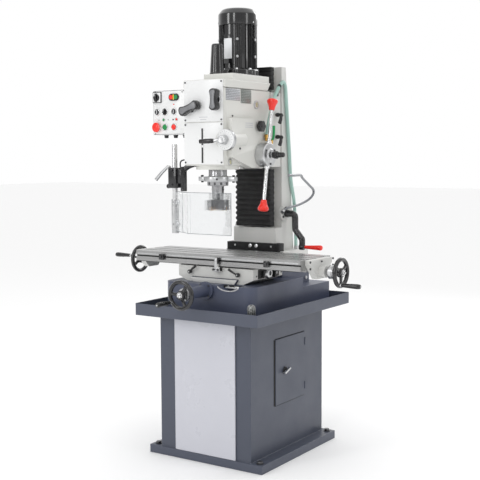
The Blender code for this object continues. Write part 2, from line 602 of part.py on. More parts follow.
def head():
    w = HEAD_HALF_WIDTH
    low, high = HEAD_Z
    body = box("head_casting", (-w, HEAD_FRONT, low + 0.016), (w, 0.0597, COVER_Z), "head_grey",
               origin=TILT_AXIS, bevel=0.006, segments=2)
    join(
        body,
        rod("head_nose", (0, SPINDLE.y, low), (0, SPINDLE.y, low + 0.05), 0.088, sides=32),
        rod("hub_boss", (0.05, FEED_HUB.y, FEED_HUB.z), (FEED_HUB.x - GAP, FEED_HUB.y, FEED_HUB.z), 0.056, sides=28),
        plate("feed_housing", [(-0.262, 1.250), (-0.262, 1.403), (-0.045, 1.403), (0.006, 1.300), (0.006, 1.222),
                               (-0.030, 1.205), (-0.120, 1.205)], w - 0.01, HOUSING_X, "X"),
        rod("fine_feed_neck", (NECK_X, -0.1635, FINE_FEED.z), (NECK_X, FINE_FEED.y + GAP, FINE_FEED.z), 0.034, sides=28),
    )
    case_low = 1.450
    cut(
        body,
        rod("quill_bore", (0, SPINDLE.y, low - 0.02), (0, SPINDLE.y, case_low - 0.02), 0.0380, sides=32),
        rod("spindle_bore", (0, SPINDLE.y, low), (0, SPINDLE.y, COVER_Z), 0.0165, sides=20),
        box("gear_case", (-w + 0.012, HEAD_FRONT + 0.0085, case_low), (w - 0.012, 0.034, COVER_Z + 0.02)),
        rod("hub_bore", (0.06, FEED_HUB.y, FEED_HUB.z), (0.2, FEED_HUB.y, FEED_HUB.z), 0.0155, sides=20),
        rod("fine_feed_bore", FINE_FEED + Vector((0, 0.06, 0)), FINE_FEED - Vector((0, 0.01, 0)), 0.0060, sides=16),
    )
    lid = plate("head_top", [(HEAD_FRONT, COVER_Z + GAP), (0.036, COVER_Z + GAP), (0.0595, high), (HEAD_FRONT, high)],
                -w - 0.004, w + 0.004, "X", "head_grey")
    soften(lid, 0.003)
    join(lid, plate("lid_step", [(-0.045, -0.220), (w, -0.220), (w, 0.050), (-w, 0.050), (-w, -0.120),
                                 (-0.045, -0.150)], high - 0.002, high + 0.026, "Z"))
    cut(
        lid,
        rod("cap_bore", (0, SPINDLE.y, COVER_Z - 0.01), (0, SPINDLE.y, high + 0.05), 0.0165, sides=20),
        rod("motor_bore", (0, MOTOR.y, COVER_Z - 0.01), (0, MOTOR.y, high + 0.05), 0.0125, sides=20),
    )
    base = high + 0.0263
    motor = turned("motor", [(0, 1.830), (0.079, 1.830), (0.079, 1.616), (0.081, 1.612), (0.081, base),
                             (0, base)], (0, MOTOR.y, 0), "Z", "black_iron", sides=32)
    for k in range(16):
        a = 2 * math.pi * k / 16
        across = Vector((math.cos(a), math.sin(a), 0))
        ahead = Vector((-math.sin(a), math.cos(a), 0))
        middle = Vector((0, MOTOR.y, 1.735)) + across * 0.0822
        groove = box("motor_groove", (-0.006, -0.006, -0.078), (0.006, 0.006, 0.078), origin=(0, 0, 0))
        groove.matrix_world = Matrix.Translation(middle) @ Matrix((across, ahead, (0, 0, 1))).transposed().to_4x4()
        cut(motor, groove)
    cut(motor, rod("motor_well", (0, MOTOR.y, base - 0.01), (0, MOTOR.y, 1.74), 0.0125, sides=20))
    join(motor, turned("motor_cowl", [(0, MOTOR_TOP), (0.060, MOTOR_TOP), (0.076, MOTOR_TOP - 0.009), (0.082, MOTOR_TOP - 0.024),
                          (0.082, 1.792), (0, 1.792)], (0, MOTOR.y, 0), sides=32))
    turned("drawbar_cap", [(0, 1.7055), (0.019, 1.7055), (0.022, 1.699), (0.029, 1.592), (0.029, base),
                           (0.0205, base), (0.0165, 1.694), (0, 1.694)],
           (0, SPINDLE.y, 0), "Z", "black_plastic", sides=24)


def spindle_group():
    y = SPINDLE.y
    quill = turned("quill", [(0.0375, 1.425), (0.0375, 1.172), (0.043, 1.172), (0.043, 1.132), (0.0255, 1.132),
                             (0.0255, 1.425)], (0, y, 0), "Z", "steel", sides=32)
    join(
        quill,
        turned("depth_collar", [(0.056, 1.171), (0.058, 1.169), (0.058, 1.151), (0.056, 1.149), (0.042, 1.149),
                                (0.042, 1.171)], (0, y, 0), sides=28),
        box("collar_ears", (-0.090, y - 0.012, 1.151), (-0.05, y + 0.012, 1.169)),
        box("collar_ears", (0.05, y - 0.012, 1.151), (0.090, y + 0.012, 1.169)),
    )
    turned("spindle", [(0, 1.640), (0.0155, 1.640), (0.0155, 1.428), (0.025, 1.428), (0.025, 1.1),
                               (0, 1.1)], (0, y, 0), "Z", "steel", sides=20)
    turned("spindle_gear", [(0.030, 1.505), (0.030, 1.495), (0.083, 1.495), (0.083, 1.475), (0.0159, 1.475),
                            (0.0159, 1.505)], (0, y, 0), "Z", "steel", sides=32)
    arbor = turned("face_mill", [(0, 1.0997), (0.0245, 1.0997), (0.0245, 1.082), (0.022, 1.077), (0.041, 1.075),
                                 (0.045, 1.066), (0.045, 1.034), (0.041, 1.031), (0, 1.031)],
                   (0, y, 0), "Z", "steel", sides=24)
    for k in range(4):
        a = math.radians(90 * k + 20)
        at = Vector((0, y, 1.046)) + Vector((math.cos(a), math.sin(a), 0)) * 0.046
        cut(arbor, box("chip_gap", at - Vector((0.008, 0.008, 0.02)), at + Vector((0.008, 0.008, 0.016))))
    turned("motor_pinion", [(0, 1.730), (0.0115, 1.730), (0.0115, 1.500), (0.0115, 1.496), (0.0695, 1.496),
                            (0.0695, 1.474), (0, 1.474)], (0, MOTOR.y, 0), "Z", "steel", sides=32)


def feed_group():
    hub = turned("feed_hub", [(0, 0.052), (0.022, 0.052), (0.026, 0.047), (0.045, 0.047), (0.050, 0.042),
                              (0.050, 0.0), (0.0148, 0.0), (0.0148, -0.055), (0, -0.055)], FEED_HUB, "X", "chrome", sides=32)
    middle = FEED_HUB + Vector((0.033, 0, 0))
    along = Vector((0, math.sin(LEVER_TILT), math.cos(LEVER_TILT)))
    for name, way in (("feed_lever_upper", 1), ("feed_lever_lower", -1)):
        out = along * way
        bar = rod(name, middle + out * 0.0525, middle + out * (LEVER_REACH - 0.01), 0.0072, "chrome", sides=14,
                  origin=FEED_HUB)
        turn = out.to_track_quat("Z", "Y").to_matrix().to_4x4()
        knob = turned(name + "_knob", [(0, 0.018), (0.014, 0.017), (0.021, 0.012), (0.0225, 0.006), (0.019, -0.004),
                                       (0.013, -0.014), (0.0115, -0.026), (0, -0.026)],
                      middle + out * LEVER_REACH, "Z", sides=20)
        knob.matrix_world = Matrix.Translation(middle + out * LEVER_REACH) @ turn
        join(bar, knob)
        join(hub, rod(name + "_socket", middle, middle + out * 0.0522, 0.010, sides=14))
    turned("feed_lock_knob", [(0, 0.060), (0.010, 0.060), (0.012, 0.055), (0.012, 0.035), (0.016, 0.030),
                              (0.016, 0.010), (0.008, 0.006), (0.008, GAP), (0, GAP)],
           FEED_HUB + Vector((0.052, 0, 0)), "X", "black_plastic", sides=16)
    wheel = turned("fine_feed_wheel", [(0, 0.050), (0.014, 0.050), (0.0175, 0.046), (0.0175, 0.022), (0.0405, 0.022),
                                       (0.0425, 0.019), (0.0425, 0.003), (0.0405, 0.0), (0.0055, 0.0),
                                       (0.0055, -0.05), (0, -0.05)], FINE_FEED, "Y", "steel", sides=32, flip=True)
    grip = pipe("fine_feed_handle", [FINE_FEED + Vector((-0.005, -0.036, 0)), FINE_FEED + Vector((-0.060, -0.040, -0.004)),
                                     FINE_FEED + Vector((-0.098, -0.043, -0.006))], 0.006, resolution=2)
    join(wheel, grip)


def hand_knob(name, at, angle):
    """A waisted gear-change knob on the head's front, with its long side turned to an angle."""
    length, wide, waist = 0.0435, 0.0175, 0.0125
    outline = []
    for k in range(24):
        a = 2 * math.pi * k / 24
        reach = length * abs(math.cos(a))
        half = wide if abs(math.cos(a)) > 0.45 else waist + (wide - waist) * abs(math.cos(a)) / 0.45
        outline.append((math.copysign(half, math.sin(a)) * min(1, abs(math.sin(a)) * 1.6),
                        math.copysign(reach, math.cos(a))))
    knob = plate(name, outline, 0.0, 0.030, "Y", "black_plastic", origin=(0, 0.030, 0))
    turn = Matrix.Rotation(math.radians(angle), 4, "Y")
    knob.matrix_world = Matrix.Translation(at) @ turn
    stem = rod(name + "_stem", Vector(at) + Vector((0, -0.005, 0)), at, 0.02, sides=20)
    join(knob, stem)
    return knob


def controls():
    face = HEAD_FRONT - GAP
    hand_knob("speed_knob_right", (0.070, face - 0.0003, 1.475), 0)
    hand_knob("speed_knob_left", (-0.052, face - 0.0003, 1.444), 70)
    x0, x1 = BOX_X
    z0, z1 = BOX_Z
    panel = box("control_box", (x0, BOX_FRONT, z0), (x1, BOX_FRONT + 0.085, z1), "plate_white",
                bevel=0.004, segments=2)
    join(panel, box("box_arm", (x1 - 0.01, BOX_FRONT + 0.030, 1.40), (-HEAD_HALF_WIDTH - GAP, BOX_FRONT + 0.070, 1.47)))
    rows = (1.499, 1.439, 1.375)
    columns = (-0.302, -0.260, -0.213)
    presses = (
        ("e_stop", columns[0], rows[2], 0.0205, "red_plastic"),
        ("green_button", columns[1], rows[2], 0.0115, "green_plastic"),
        ("red_button", columns[2], rows[2], 0.0115, "red_plastic"),
        ("start_button", -0.2005, rows[0], 0.0100, "green_plastic"),
        ("stop_button", -0.2255, rows[0], 0.0100, "red_plastic"),
    )
    for name, x, z, radius, finish in presses:
        button(name, panel, Vector((x, BOX_FRONT, z)), radius, finish)
    for name, x, z in (("main_switch", columns[0], rows[0]), ("mode_selector", columns[1], rows[1])):
        knob = rod(name, (x, BOX_FRONT - GAP, z), (x, BOX_FRONT - 0.010, z), 0.014, "black_plastic", sides=20)
        join(knob, box(name + "_bar", (x - 0.0045, BOX_FRONT - 0.022, z - 0.013),
                       (x + 0.0045, BOX_FRONT - 0.009, z + 0.013)))


def button(name, panel, at, radius, finish):
    """A push button: a cap on a stem that slides in a hole in the panel."""
    back = Vector((0, BUTTON_TRAVEL + 0.001, 0))
    cap = rod(name, at - back - Vector((0, 0.009, 0)), at - back, radius, finish, sides=20)
    join(cap, rod(name + "_stem", at - back - Vector((0, 0.004, 0)), at + Vector((0, 0.008, 0)), 0.0065,
                  sides=12))
    cut(panel, rod(name + "_hole", at - Vector((0, 0.01, 0)), at + Vector((0, 0.016, 0)), 0.0072, sides=12))


def guard():
    x, y = GUARD_POST.x, GUARD_POST.y
    bracket = box("guard_bracket", (x - 0.022, y - 0.020, 1.120), (x + 0.022, y + 0.020, 1.206), "black_iron",
                  bevel=0.004)
    join(bracket, box("guard_arm", (x + 0.01, y - 0.010, 1.195), (-HEAD_HALF_WIDTH - GAP, y + 0.010, 1.235)))
    cut(bracket, rod("post_bore", (x, y, 1.10), (x, y, 1.25), 0.0126, sides=20))
    post = rod("guard_post", (x, y, 0.936), (x, y, 1.303), 0.0120, "chrome", sides=20)
    shield = plate(
        "shield",
        [(x + 0.005, y - 0.0015), (-0.075, -0.3015), (0.141, -0.3015), (0.141, -0.2985), (-0.074, -0.2985),
         (x + 0.005, y + 0.0015)], 0.940, 1.108, "Z")
    shield.matrix_world = Matrix.Translation((0, 0, 0))
    join(post, shield)


def coolant():
    side = COLUMN_HALF_WIDTH
    r = 0.0075
    x = side + r + 0.002
    pipe("coolant_hose",
         smooth_route([(x, 0.115, 1.300), (x, 0.117, 1.380), (x, 0.121, 1.460), (x, 0.127, 1.515), (x, 0.139, 1.545),
                       (x, 0.152, 1.540), (x, 0.157, 1.500), (x, 0.165, 1.428), (x, 0.182, 1.278), (x, 0.196, 1.148),
                       (x, 0.222, 1.059), (x, 0.236, 0.950), (x, 0.240, 0.846)], 0.018), r, "hose", resolution=2)
    pipe("coolant_nozzle",
         smooth_route([(0.127, 0.112, 1.014), (0.131, 0.150, 1.029), (0.134, 0.235, 1.038), (0.136, 0.314, 1.056),
                       (0.140, 0.350, 1.077), (0.146, 0.345, 1.100), (0.156, 0.290, 1.123), (0.172, 0.205, 1.155),
                       (0.196, 0.145, 1.170), (0.232, 0.030, 1.172), (0.243, -0.030, 1.174)], 0.014), 0.0052, "steel", resolution=1)


stand()
tray()
machine_base()
saddle()
table()
screws()
column()
column_drive()
crank_grip()
covers()
carriage()
head()
spindle_group()
feed_group()
controls()
guard()
coolant()
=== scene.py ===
"""The looks of the benchtop milling machine: materials, fine shapes, fasteners, light and camera."""
import math

import bmesh
import bpy
from mathutils import Matrix, Vector


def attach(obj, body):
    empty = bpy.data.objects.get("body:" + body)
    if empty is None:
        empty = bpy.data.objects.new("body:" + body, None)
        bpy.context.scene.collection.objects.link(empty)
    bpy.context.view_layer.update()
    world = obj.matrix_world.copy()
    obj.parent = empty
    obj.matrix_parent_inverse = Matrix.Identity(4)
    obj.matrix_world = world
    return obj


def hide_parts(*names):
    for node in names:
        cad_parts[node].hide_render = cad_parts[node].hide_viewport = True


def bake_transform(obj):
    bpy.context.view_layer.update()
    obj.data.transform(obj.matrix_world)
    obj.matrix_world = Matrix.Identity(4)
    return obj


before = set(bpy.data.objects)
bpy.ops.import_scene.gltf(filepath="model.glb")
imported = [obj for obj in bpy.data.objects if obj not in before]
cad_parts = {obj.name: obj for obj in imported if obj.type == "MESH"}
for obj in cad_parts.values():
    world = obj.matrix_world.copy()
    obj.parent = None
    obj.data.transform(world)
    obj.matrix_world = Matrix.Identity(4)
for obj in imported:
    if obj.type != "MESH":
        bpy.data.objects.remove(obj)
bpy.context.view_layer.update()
scene = bpy.context.scene

X = Vector((1, 0, 0))
Y = Vector((0, 1, 0))
Z = Vector((0, 0, 1))
FRONT = -Y

# the machine's driving places, in metres
X_AXIS = Vector((0, -0.103, 0.798))
Y_AXIS = Vector((0, -0.446, 0.711))
CRANK_AXIS = Vector((0.108, 0.150, 1.004))
WHEEL_RADIUS = 0.061
RIM_RADIUS = 0.0085
MOTOR_Y = -0.037
SPINDLE_Y = -0.190
HEAD_FRONT = -0.2853
HEAD_HALF_WIDTH = 0.098
HOUSING_X = 0.1200
FEED_HUB = Vector((0.121, -0.050, 1.257))
FINE_FEED = Vector((0.122, -0.2935, 1.317))
BOX_FRONT = -0.200
BOX_X = (-0.325, -0.150)
BOX_Z = (1.343, 1.529)
GUARD_POST = (-0.205, -0.210)
STOPS = (-0.266, 0.2586)
SADDLE_SIDE = 0.1862
ROOM_GREY = 0.50
OVERHEAD = 1.15


# ---------------------------------------------------------------- camera, floor and light
def look():
    """The camera at the reference view, solved from the machine's own edges."""
    heading, down, roll = math.radians(33.752), math.radians(5.042), math.radians(-0.274)
    data = bpy.data.cameras.new("camera")
    data.sensor_width = 36
    data.lens = 72.62
    data.clip_end = 60
    camera = bpy.data.objects.new("camera", data)
    turn = (Matrix.Rotation(heading, 4, "Z") @ Matrix.Rotation(math.pi / 2 - down, 4, "X")
            @ Matrix.Rotation(roll, 4, "Z"))
    camera.matrix_world = Matrix.Translation((2.27846, -3.43828, 1.25901)) @ turn
    scene.collection.objects.link(camera)
    scene.camera = camera


def lamp(name, place, target, size, watts):
    data = bpy.data.lights.new(name, "AREA")
    data.shape = "RECTANGLE"
    data.size, data.size_y = size
    data.energy = watts
    obj = bpy.data.objects.new(name, data)
    obj.location = place
    obj.rotation_euler = (Vector(target) - Vector(place)).to_track_quat("-Z", "Y").to_euler()
    scene.collection.objects.link(obj)


def sky():
    """A white backdrop behind the machine and overhead, and a soft grey room in front of it."""
    world = bpy.data.worlds.new("studio")
    world.use_nodes = True
    tree = world.node_tree
    glow = tree.nodes["Background"]
    coords = tree.nodes.new("ShaderNodeTexCoord")
    toward = tree.nodes.new("ShaderNodeVectorMath")
    toward.operation = "DOT_PRODUCT"
    toward.inputs[1].default_value = (-0.556, 0.831, 0)
    tree.links.new(coords.outputs["Generated"], toward.inputs[0])
    parts = tree.nodes.new("ShaderNodeSeparateXYZ")
    tree.links.new(coords.outputs["Generated"], parts.inputs[0])
    around_room = smooth_step(tree, toward.outputs["Value"], 0.10, 0.80, ROOM_GREY, 1.0)
    upward = smooth_step(tree, parts.outputs["Z"], 0.35, 0.85, 0.0, OVERHEAD)
    tree.links.new(around_room.outputs["Result"], upward.inputs["To Min"])
    tree.links.new(upward.outputs["Result"], glow.inputs["Color"])
    return world


def smooth_step(tree, source, low, high, first, last):
    """A smooth ramp between two values."""
    step = tree.nodes.new("ShaderNodeMapRange")
    step.interpolation_type = "SMOOTHSTEP"
    for key, value in (("From Min", low), ("From Max", high), ("To Min", first), ("To Max", last)):
        step.inputs[key].default_value = value
    tree.links.new(source, step.inputs["Value"])
    return step


def studio():
    bpy.ops.mesh.primitive_plane_add(size=60, location=(0, 0, 0))
    floor = bpy.context.object
    floor.name = "studio_floor"
    pale = bpy.data.materials.new("studio_white")
    pale.use_nodes = True
    shader = pale.node_tree.nodes["Principled BSDF"]
    shader.inputs["Base Color"].default_value = (0.97, 0.97, 0.97, 1)
    shader.inputs["Roughness"].default_value = 0.9
    floor.data.materials.append(pale)
    scene.world = sky()
    lamp("key", (-1.5, -3.6, 2.3), (0, 0, 1.1), (0.7, 2.2), 27)
    lamp("front", (0.9, -4.2, 2.6), (0, 0, 1.2), (0.5, 2.0), 19)
    lamp("side", (3.6, -0.2, 2.2), (0, 0, 1.0), (0.5, 2.2), 13)
    lamp("rim", (0.2, 3.6, 3.0), (0, 0, 1.2), (1.6, 1.6), 30)
    scene.view_settings.view_transform = "Standard"


# ---------------------------------------------------------------- materials
def linear(*rgb):
    """A colour from its 0 to 255 display values."""
    out = []
    for value in rgb:
        v = value / 255
        out.append(v / 12.92 if v <= 0.04045 else ((v + 0.055) / 1.055) ** 2.4)
    return (*out, 1)


class Look:
    """A Principled material being wired: a few helpers that keep each recipe short."""

    def __init__(self, name):
        self.material = bpy.data.materials.new(name)
        self.material.use_nodes = True
        self.tree = self.material.node_tree
        self.shader = self.tree.nodes["Principled BSDF"]
        self.coords = self.node("ShaderNodeTexCoord").outputs["Object"]

    def node(self, kind, **settings):
        made = self.tree.nodes.new(kind)
        for key, value in settings.items():
            if hasattr(made, key):
                setattr(made, key, value)
            else:
                made.inputs[key.replace("_", " ")].default_value = value
        return made

    def link(self, source, target):
        self.tree.links.new(source, target)

    def set(self, **values):
        for key, value in values.items():
            self.shader.inputs[key.replace("_", " ")].default_value = value
        return self

    def stretched(self, scale):
        mapping = self.node("ShaderNodeMapping")
        mapping.inputs["Scale"].default_value = scale
        self.link(self.coords, mapping.inputs["Vector"])
        return mapping.outputs["Vector"]

    def noise(self, scale, detail=4.0, roughness=0.6, vector=None):
        made = self.node("ShaderNodeTexNoise", Scale=scale, Detail=detail, Roughness=roughness)
        self.link(vector or self.coords, made.inputs["Vector"])
        return made.outputs["Fac"]

    def ramp(self, source, low, high, first, last):
        made = self.node("ShaderNodeMapRange", clamp=True)
        for key, value in (("From Min", low), ("From Max", high), ("To Min", first), ("To Max", last)):
            made.inputs[key].default_value = value
        self.link(source, made.inputs["Value"])
        return made.outputs["Result"]

    def blend(self, factor, first, second):
        made = self.node("ShaderNodeMix", data_type="RGBA")
        for socket, value in ((made.inputs[6], first), (made.inputs[7], second)):
            if isinstance(value, tuple):
                socket.default_value = value
            else:
                self.link(value, socket)
        self.link(factor, made.inputs[0])
        return made.outputs[2]

    def bump(self, height, strength, distance):
        made = self.node("ShaderNodeBump")
        made.inputs["Strength"].default_value = strength
        made.inputs["Distance"].default_value = distance
        self.link(height, made.inputs["Height"])
        if self.shader.inputs["Normal"].links:
            self.link(self.shader.inputs["Normal"].links[0].from_socket, made.inputs["Normal"])
        self.link(made.outputs["Normal"], self.shader.inputs["Normal"])
        return self

    def colour(self, socket):
        self.link(socket, self.shader.inputs["Base Color"])
        return self

    def rough(self, socket):
        self.link(socket, self.shader.inputs["Roughness"])
        return self


def shade(colour, factor):
    return (*[min(1.0, c * factor) for c in colour[:3]], 1)


def enamel(name, colour, roughness=0.38, peel=0.25, grime=0.9, cast=0.0, specks=0.35, coat=0.12):
    """Sprayed paint: orange peel, a slow drift of tone, thin edges rubbed lighter and dust in patches."""
    look = Look(name)
    look.set(Specular_IOR_Level=0.5, Coat_Weight=coat, Coat_Roughness=0.25 if coat < 0.3 else 0.10)
    drift = look.ramp(look.noise(2.2, 3), 0.35, 0.7, 0, 1)
    tone = look.blend(drift, shade(colour, 1.0), shade(colour, grime))
    speck = look.ramp(look.noise(55, 8, 0.7), 0.62, 0.74, 0, specks)
    tone = look.blend(speck, tone, shade(colour, 0.72))
    edge = look.ramp(look.node("ShaderNodeNewGeometry").outputs["Pointiness"], 0.53, 0.60, 0, 0.35)
    tone = look.blend(edge, tone, shade(colour, 1.5))
    look.colour(tone)
    look.rough(look.ramp(look.noise(9, 5), 0.3, 0.75, roughness - 0.06, roughness + 0.10))
    look.bump(look.noise(420, 2), peel, 0.0004)
    if cast:
        look.bump(look.noise(70, 6, 0.65), cast, 0.0015)
    return look.material


def ground(name, colour, axis=0, roughness=0.28, bite=0.35, metal=1.0):
    """Ground or turned steel, with fine lines that run one way and small stains."""
    look = Look(name)
    look.set(Metallic=metal, Anisotropic=0.35)
    stretch = [900.0, 900.0, 900.0]
    stretch[axis] = 14.0
    lines = look.noise(1.0, 3, 0.5, look.stretched(stretch))
    stain = look.ramp(look.noise(14, 6, 0.7), 0.45, 0.75, 0, 0.5)
    tone = look.blend(look.ramp(lines, 0.3, 0.7, 0, 1), shade(colour, 0.86), shade(colour, 1.12))
    look.colour(look.blend(stain, tone, shade(colour, 0.70)))
    look.rough(look.ramp(lines, 0.3, 0.7, roughness - 0.08, roughness + 0.12))
    look.bump(lines, bite, 0.0002)
    return look.material


def bright(name, colour, roughness=0.08):
    """Plated steel with faint smears."""
    look = Look(name)
    look.set(Metallic=1.0)
    smear = look.noise(26, 5, 0.6)
    look.colour(look.blend(look.ramp(smear, 0.4, 0.7, 0, 1), colour, shade(colour, 0.86)))
    look.rough(look.ramp(smear, 0.35, 0.75, roughness, roughness + 0.14))
    look.bump(look.noise(160, 3), 0.012, 0.0002)
    return look.material


def moulded(name, colour, roughness=0.3, grain=0.12, coat=0.2):
    """Moulded plastic: a fine grain, small scuffs and softly worn edges."""
    look = Look(name)
    look.set(Coat_Weight=coat, Coat_Roughness=0.15, Specular_IOR_Level=0.5)
    scuff = look.ramp(look.noise(75, 7, 0.7), 0.58, 0.78, 0, 0.4)
    edge = look.ramp(look.node("ShaderNodeNewGeometry").outputs["Pointiness"], 0.54, 0.62, 0, 0.3)
    pale = tuple(min(1.0, c * 1.3 + 0.02) for c in colour[:3]) + (1,)
    look.colour(look.blend(edge, look.blend(scuff, colour, pale), pale))
    look.rough(look.ramp(look.noise(30, 4), 0.3, 0.7, roughness - 0.05, roughness + 0.12))
    look.bump(look.noise(650, 2), grain, 0.0003)
    return look.material


def rubber(name, colour):
    look = Look(name)
    look.set(Specular_IOR_Level=0.35, Sheen_Weight=0.12)
    dust = look.ramp(look.noise(22, 6, 0.7), 0.42, 0.75, 0, 0.6)
    look.colour(look.blend(dust, colour, shade(colour, 2.4)))
    look.rough(look.ramp(look.noise(40, 3), 0.3, 0.7, 0.55, 0.75))
    look.bump(look.noise(900, 2), 0.25, 0.0003)
    return look.material


def clear(name, colour, roughness, transmission, alpha=1.0, ior=1.45):
    """See-through plastic with faint scratches."""
    look = Look(name)
    look.set(Transmission_Weight=transmission, IOR=ior, Alpha=alpha)
    haze = look.noise(60, 6, 0.7)
    look.colour(look.blend(look.ramp(haze, 0.4, 0.8, 0, 1), colour, shade(colour, 0.93)))
    look.rough(look.ramp(haze, 0.4, 0.8, roughness, roughness + 0.08))
    look.bump(look.noise(1.0, 2, 0.5, look.stretched((600, 600, 25))), 0.04, 0.0002)
    return look.material


def chart(name, colour, ink):
    """A printed instruction plate: rows of plain bars stand for its table."""
    look = Look(name)
    look.set(Metallic=0.4)
    rows = look.node("ShaderNodeTexBrick", offset=0.37, squash=1.0)
    rows.inputs["Color1"].default_value = colour
    rows.inputs["Color2"].default_value = shade(colour, 0.9)
    rows.inputs["Mortar"].default_value = ink
    for key, value in (("Scale", 1.0), ("Mortar Size", 0.0007), ("Brick Width", 0.017), ("Row Height", 0.0065)):
        rows.inputs[key].default_value = value
    swap = look.node("ShaderNodeVectorRotate", rotation_type="X_AXIS")
    swap.inputs["Angle"].default_value = math.pi / 2
    turn = look.node("ShaderNodeVectorRotate", rotation_type="Z_AXIS")
    turn.inputs["Angle"].default_value = math.pi / 2
    look.link(look.coords, turn.inputs["Vector"])
    look.link(turn.outputs["Vector"], swap.inputs["Vector"])
    look.link(swap.outputs["Vector"], rows.inputs["Vector"])
    look.colour(rows.outputs["Color"])
    look.rough(look.ramp(look.noise(40, 4), 0.3, 0.7, 0.3, 0.45))
    return look.material


def woven(name, colour):
    """Fine wire mesh: bright wires over holes painted near-black, a painted shade of the strainer's inside seen through
    them.
    """
    look = Look(name)
    look.set(Metallic=0.9)
    wires = look.node("ShaderNodeTexVoronoi", distance="CHEBYCHEV", Scale=520.0)
    look.link(look.coords, wires.inputs["Vector"])
    mask = look.ramp(wires.outputs["Distance"], 0.25, 0.45, 0, 1)
    look.colour(look.blend(mask, shade(colour, 0.12), colour))
    look.rough(look.ramp(mask, 0, 1, 0.6, 0.25))
    look.bump(mask, 0.6, 0.0004)
    return look.material


PALETTE = {
    "stand": enamel("stand_blue_grey", linear(72, 77, 91), 0.42, 0.35, 0.95),
    "base": enamel("base_blue_grey_cast", linear(74, 80, 100), 0.40, 0.3, cast=0.35),
    "panel": enamel("panel_pale_grey", linear(198, 199, 207), 0.30, 0.15, 0.98, specks=0.06),
    "head": enamel("head_light_grey", linear(216, 216, 211), 0.38, 0.3, 0.96, cast=0.15, specks=0.15),
    "column": enamel("column_light_grey", linear(210, 210, 207), 0.40, 0.3, 0.96, cast=0.2, specks=0.15),
    "white": enamel("plate_white", linear(229, 230, 230), 0.28, 0.12, 0.98, specks=0.05),
    "black_enamel": enamel("black_enamel", linear(27, 27, 30), 0.20, 0.15, 0.8, specks=0.2, coat=0.5),
    "motor": enamel("motor_black", linear(22, 22, 24), 0.17, 0.1, 0.8, specks=0.15, coat=0.8),
    "table": ground("table_ground_steel", linear(168, 168, 168), 0, 0.28, metal=0.85),
    "saddle": enamel("saddle_cast_grey", linear(206, 206, 203), 0.34, 0.3, 0.92, cast=0.3, specks=0.2),
    "steel": ground("turned_steel", linear(180, 180, 182), 2, 0.26),
    "dark_steel": ground("dark_steel", linear(96, 96, 98), 2, 0.34),
    "chrome": bright("chrome_plate", linear(236, 236, 237), 0.12),
    "satin": bright("satin_chrome", linear(204, 205, 206), 0.26),
    "black": moulded("black_phenolic", linear(26, 26, 28), 0.24),
    "matt_black": moulded("black_plastic", linear(32, 32, 34), 0.45, 0.25, 0.0),
    "red": moulded("red_plastic", linear(240, 42, 28), 0.24, coat=0.35),
    "green": moulded("green_plastic", linear(22, 140, 70), 0.3),
    "valve_green": moulded("valve_green", linear(20, 150, 84), 0.35),
    "yellow": moulded("yellow_plastic", linear(236, 190, 40), 0.4),
    # pale grey plastic for the selector's pointer bars, and also a painted highlight on the base pocket's rim
    "pale_grey_and_rim_highlight": moulded("pale_grey_plastic_and_rim_highlight", linear(188, 188, 190), 0.34),
    "bellows": rubber("bellows_rubber", linear(30, 30, 31)),
    # black rubber for the column's apron, and also painted shade: thin black sheets of it stand for the shade under the
    # table and in the gaps round the cabinet door
    "rubber_and_painted_shade": rubber("black_rubber_and_painted_shade", linear(22, 22, 23)),
    "hose": clear("teal_hose", linear(180, 216, 206), 0.30, 0.25),
    "shield": clear("clear_polycarbonate", linear(240, 243, 245), 0.04, 0.9, 0.45, 1.2),
    "lens": clear("sight_glass", linear(230, 226, 190), 0.05, 0.5),
    "bronze": ground("bronze", linear(176, 128, 60), 2, 0.3),
    "chart": chart("instruction_plate", linear(196, 198, 202), linear(90, 92, 98)),
    "label": enamel("blank_label", linear(228, 230, 232), 0.35, 0.05, 0.97),
    "copper": bright("brass_fitting", linear(190, 150, 80), 0.25),
    "ink": enamel("black_marking", linear(28, 28, 30), 0.45, 0.05),
    "mark_grey": enamel("grey_marking", linear(176, 178, 182), 0.45, 0.05),
    "plate_line": enamel("printed_border", linear(60, 61, 64), 0.4, 0.05),
    # painted shade: this near-black paint stands for the shade inside the fan cowl, in the table's front groove, on the
    # saddle's side and in the base's pocket
    "painted_shade": enamel("painted_shade", linear(12, 12, 13), 0.7, 0.1),
    "chart_dark": chart("instruction_plate_dark", linear(150, 154, 150), linear(78, 82, 80)),
    # painted highlight: this mid grey stands for the glint on the speed knobs' black tops
    "painted_knob_glint": moulded("painted_knob_glint", linear(120, 121, 124), 0.28),
    "edge_clear": clear("shield_edge", linear(150, 154, 158), 0.2, 0.2, 0.9, 1.3),
    "flex_steel": ground("jointed_steel", linear(140, 142, 146), 2, 0.30, metal=0.85),
    "mesh_steel": woven("strainer_mesh", linear(150, 152, 150)),
}

ROUNDED = {
    "stand_cabinet": 0.0020, "cabinet_door": 0.0015, "chip_tray": 0.0020, "machine_base": 0.0030,
    "y_screw_bracket": 0.0020, "front_panel": 0.0015, "head_casting": 0.0025, "head_top": 0.0020,
    "column": 0.0020, "carriage": 0.0015, "saddle": 0.0012, "table": 0.0006, "table_end_left": 0.0025,
    "table_end_right": 0.0025, "control_box": 0.0020, "x_leadscrew": 0.0004, "y_leadscrew": 0.0004,
    "z_leadscrew": 0.0004,
}

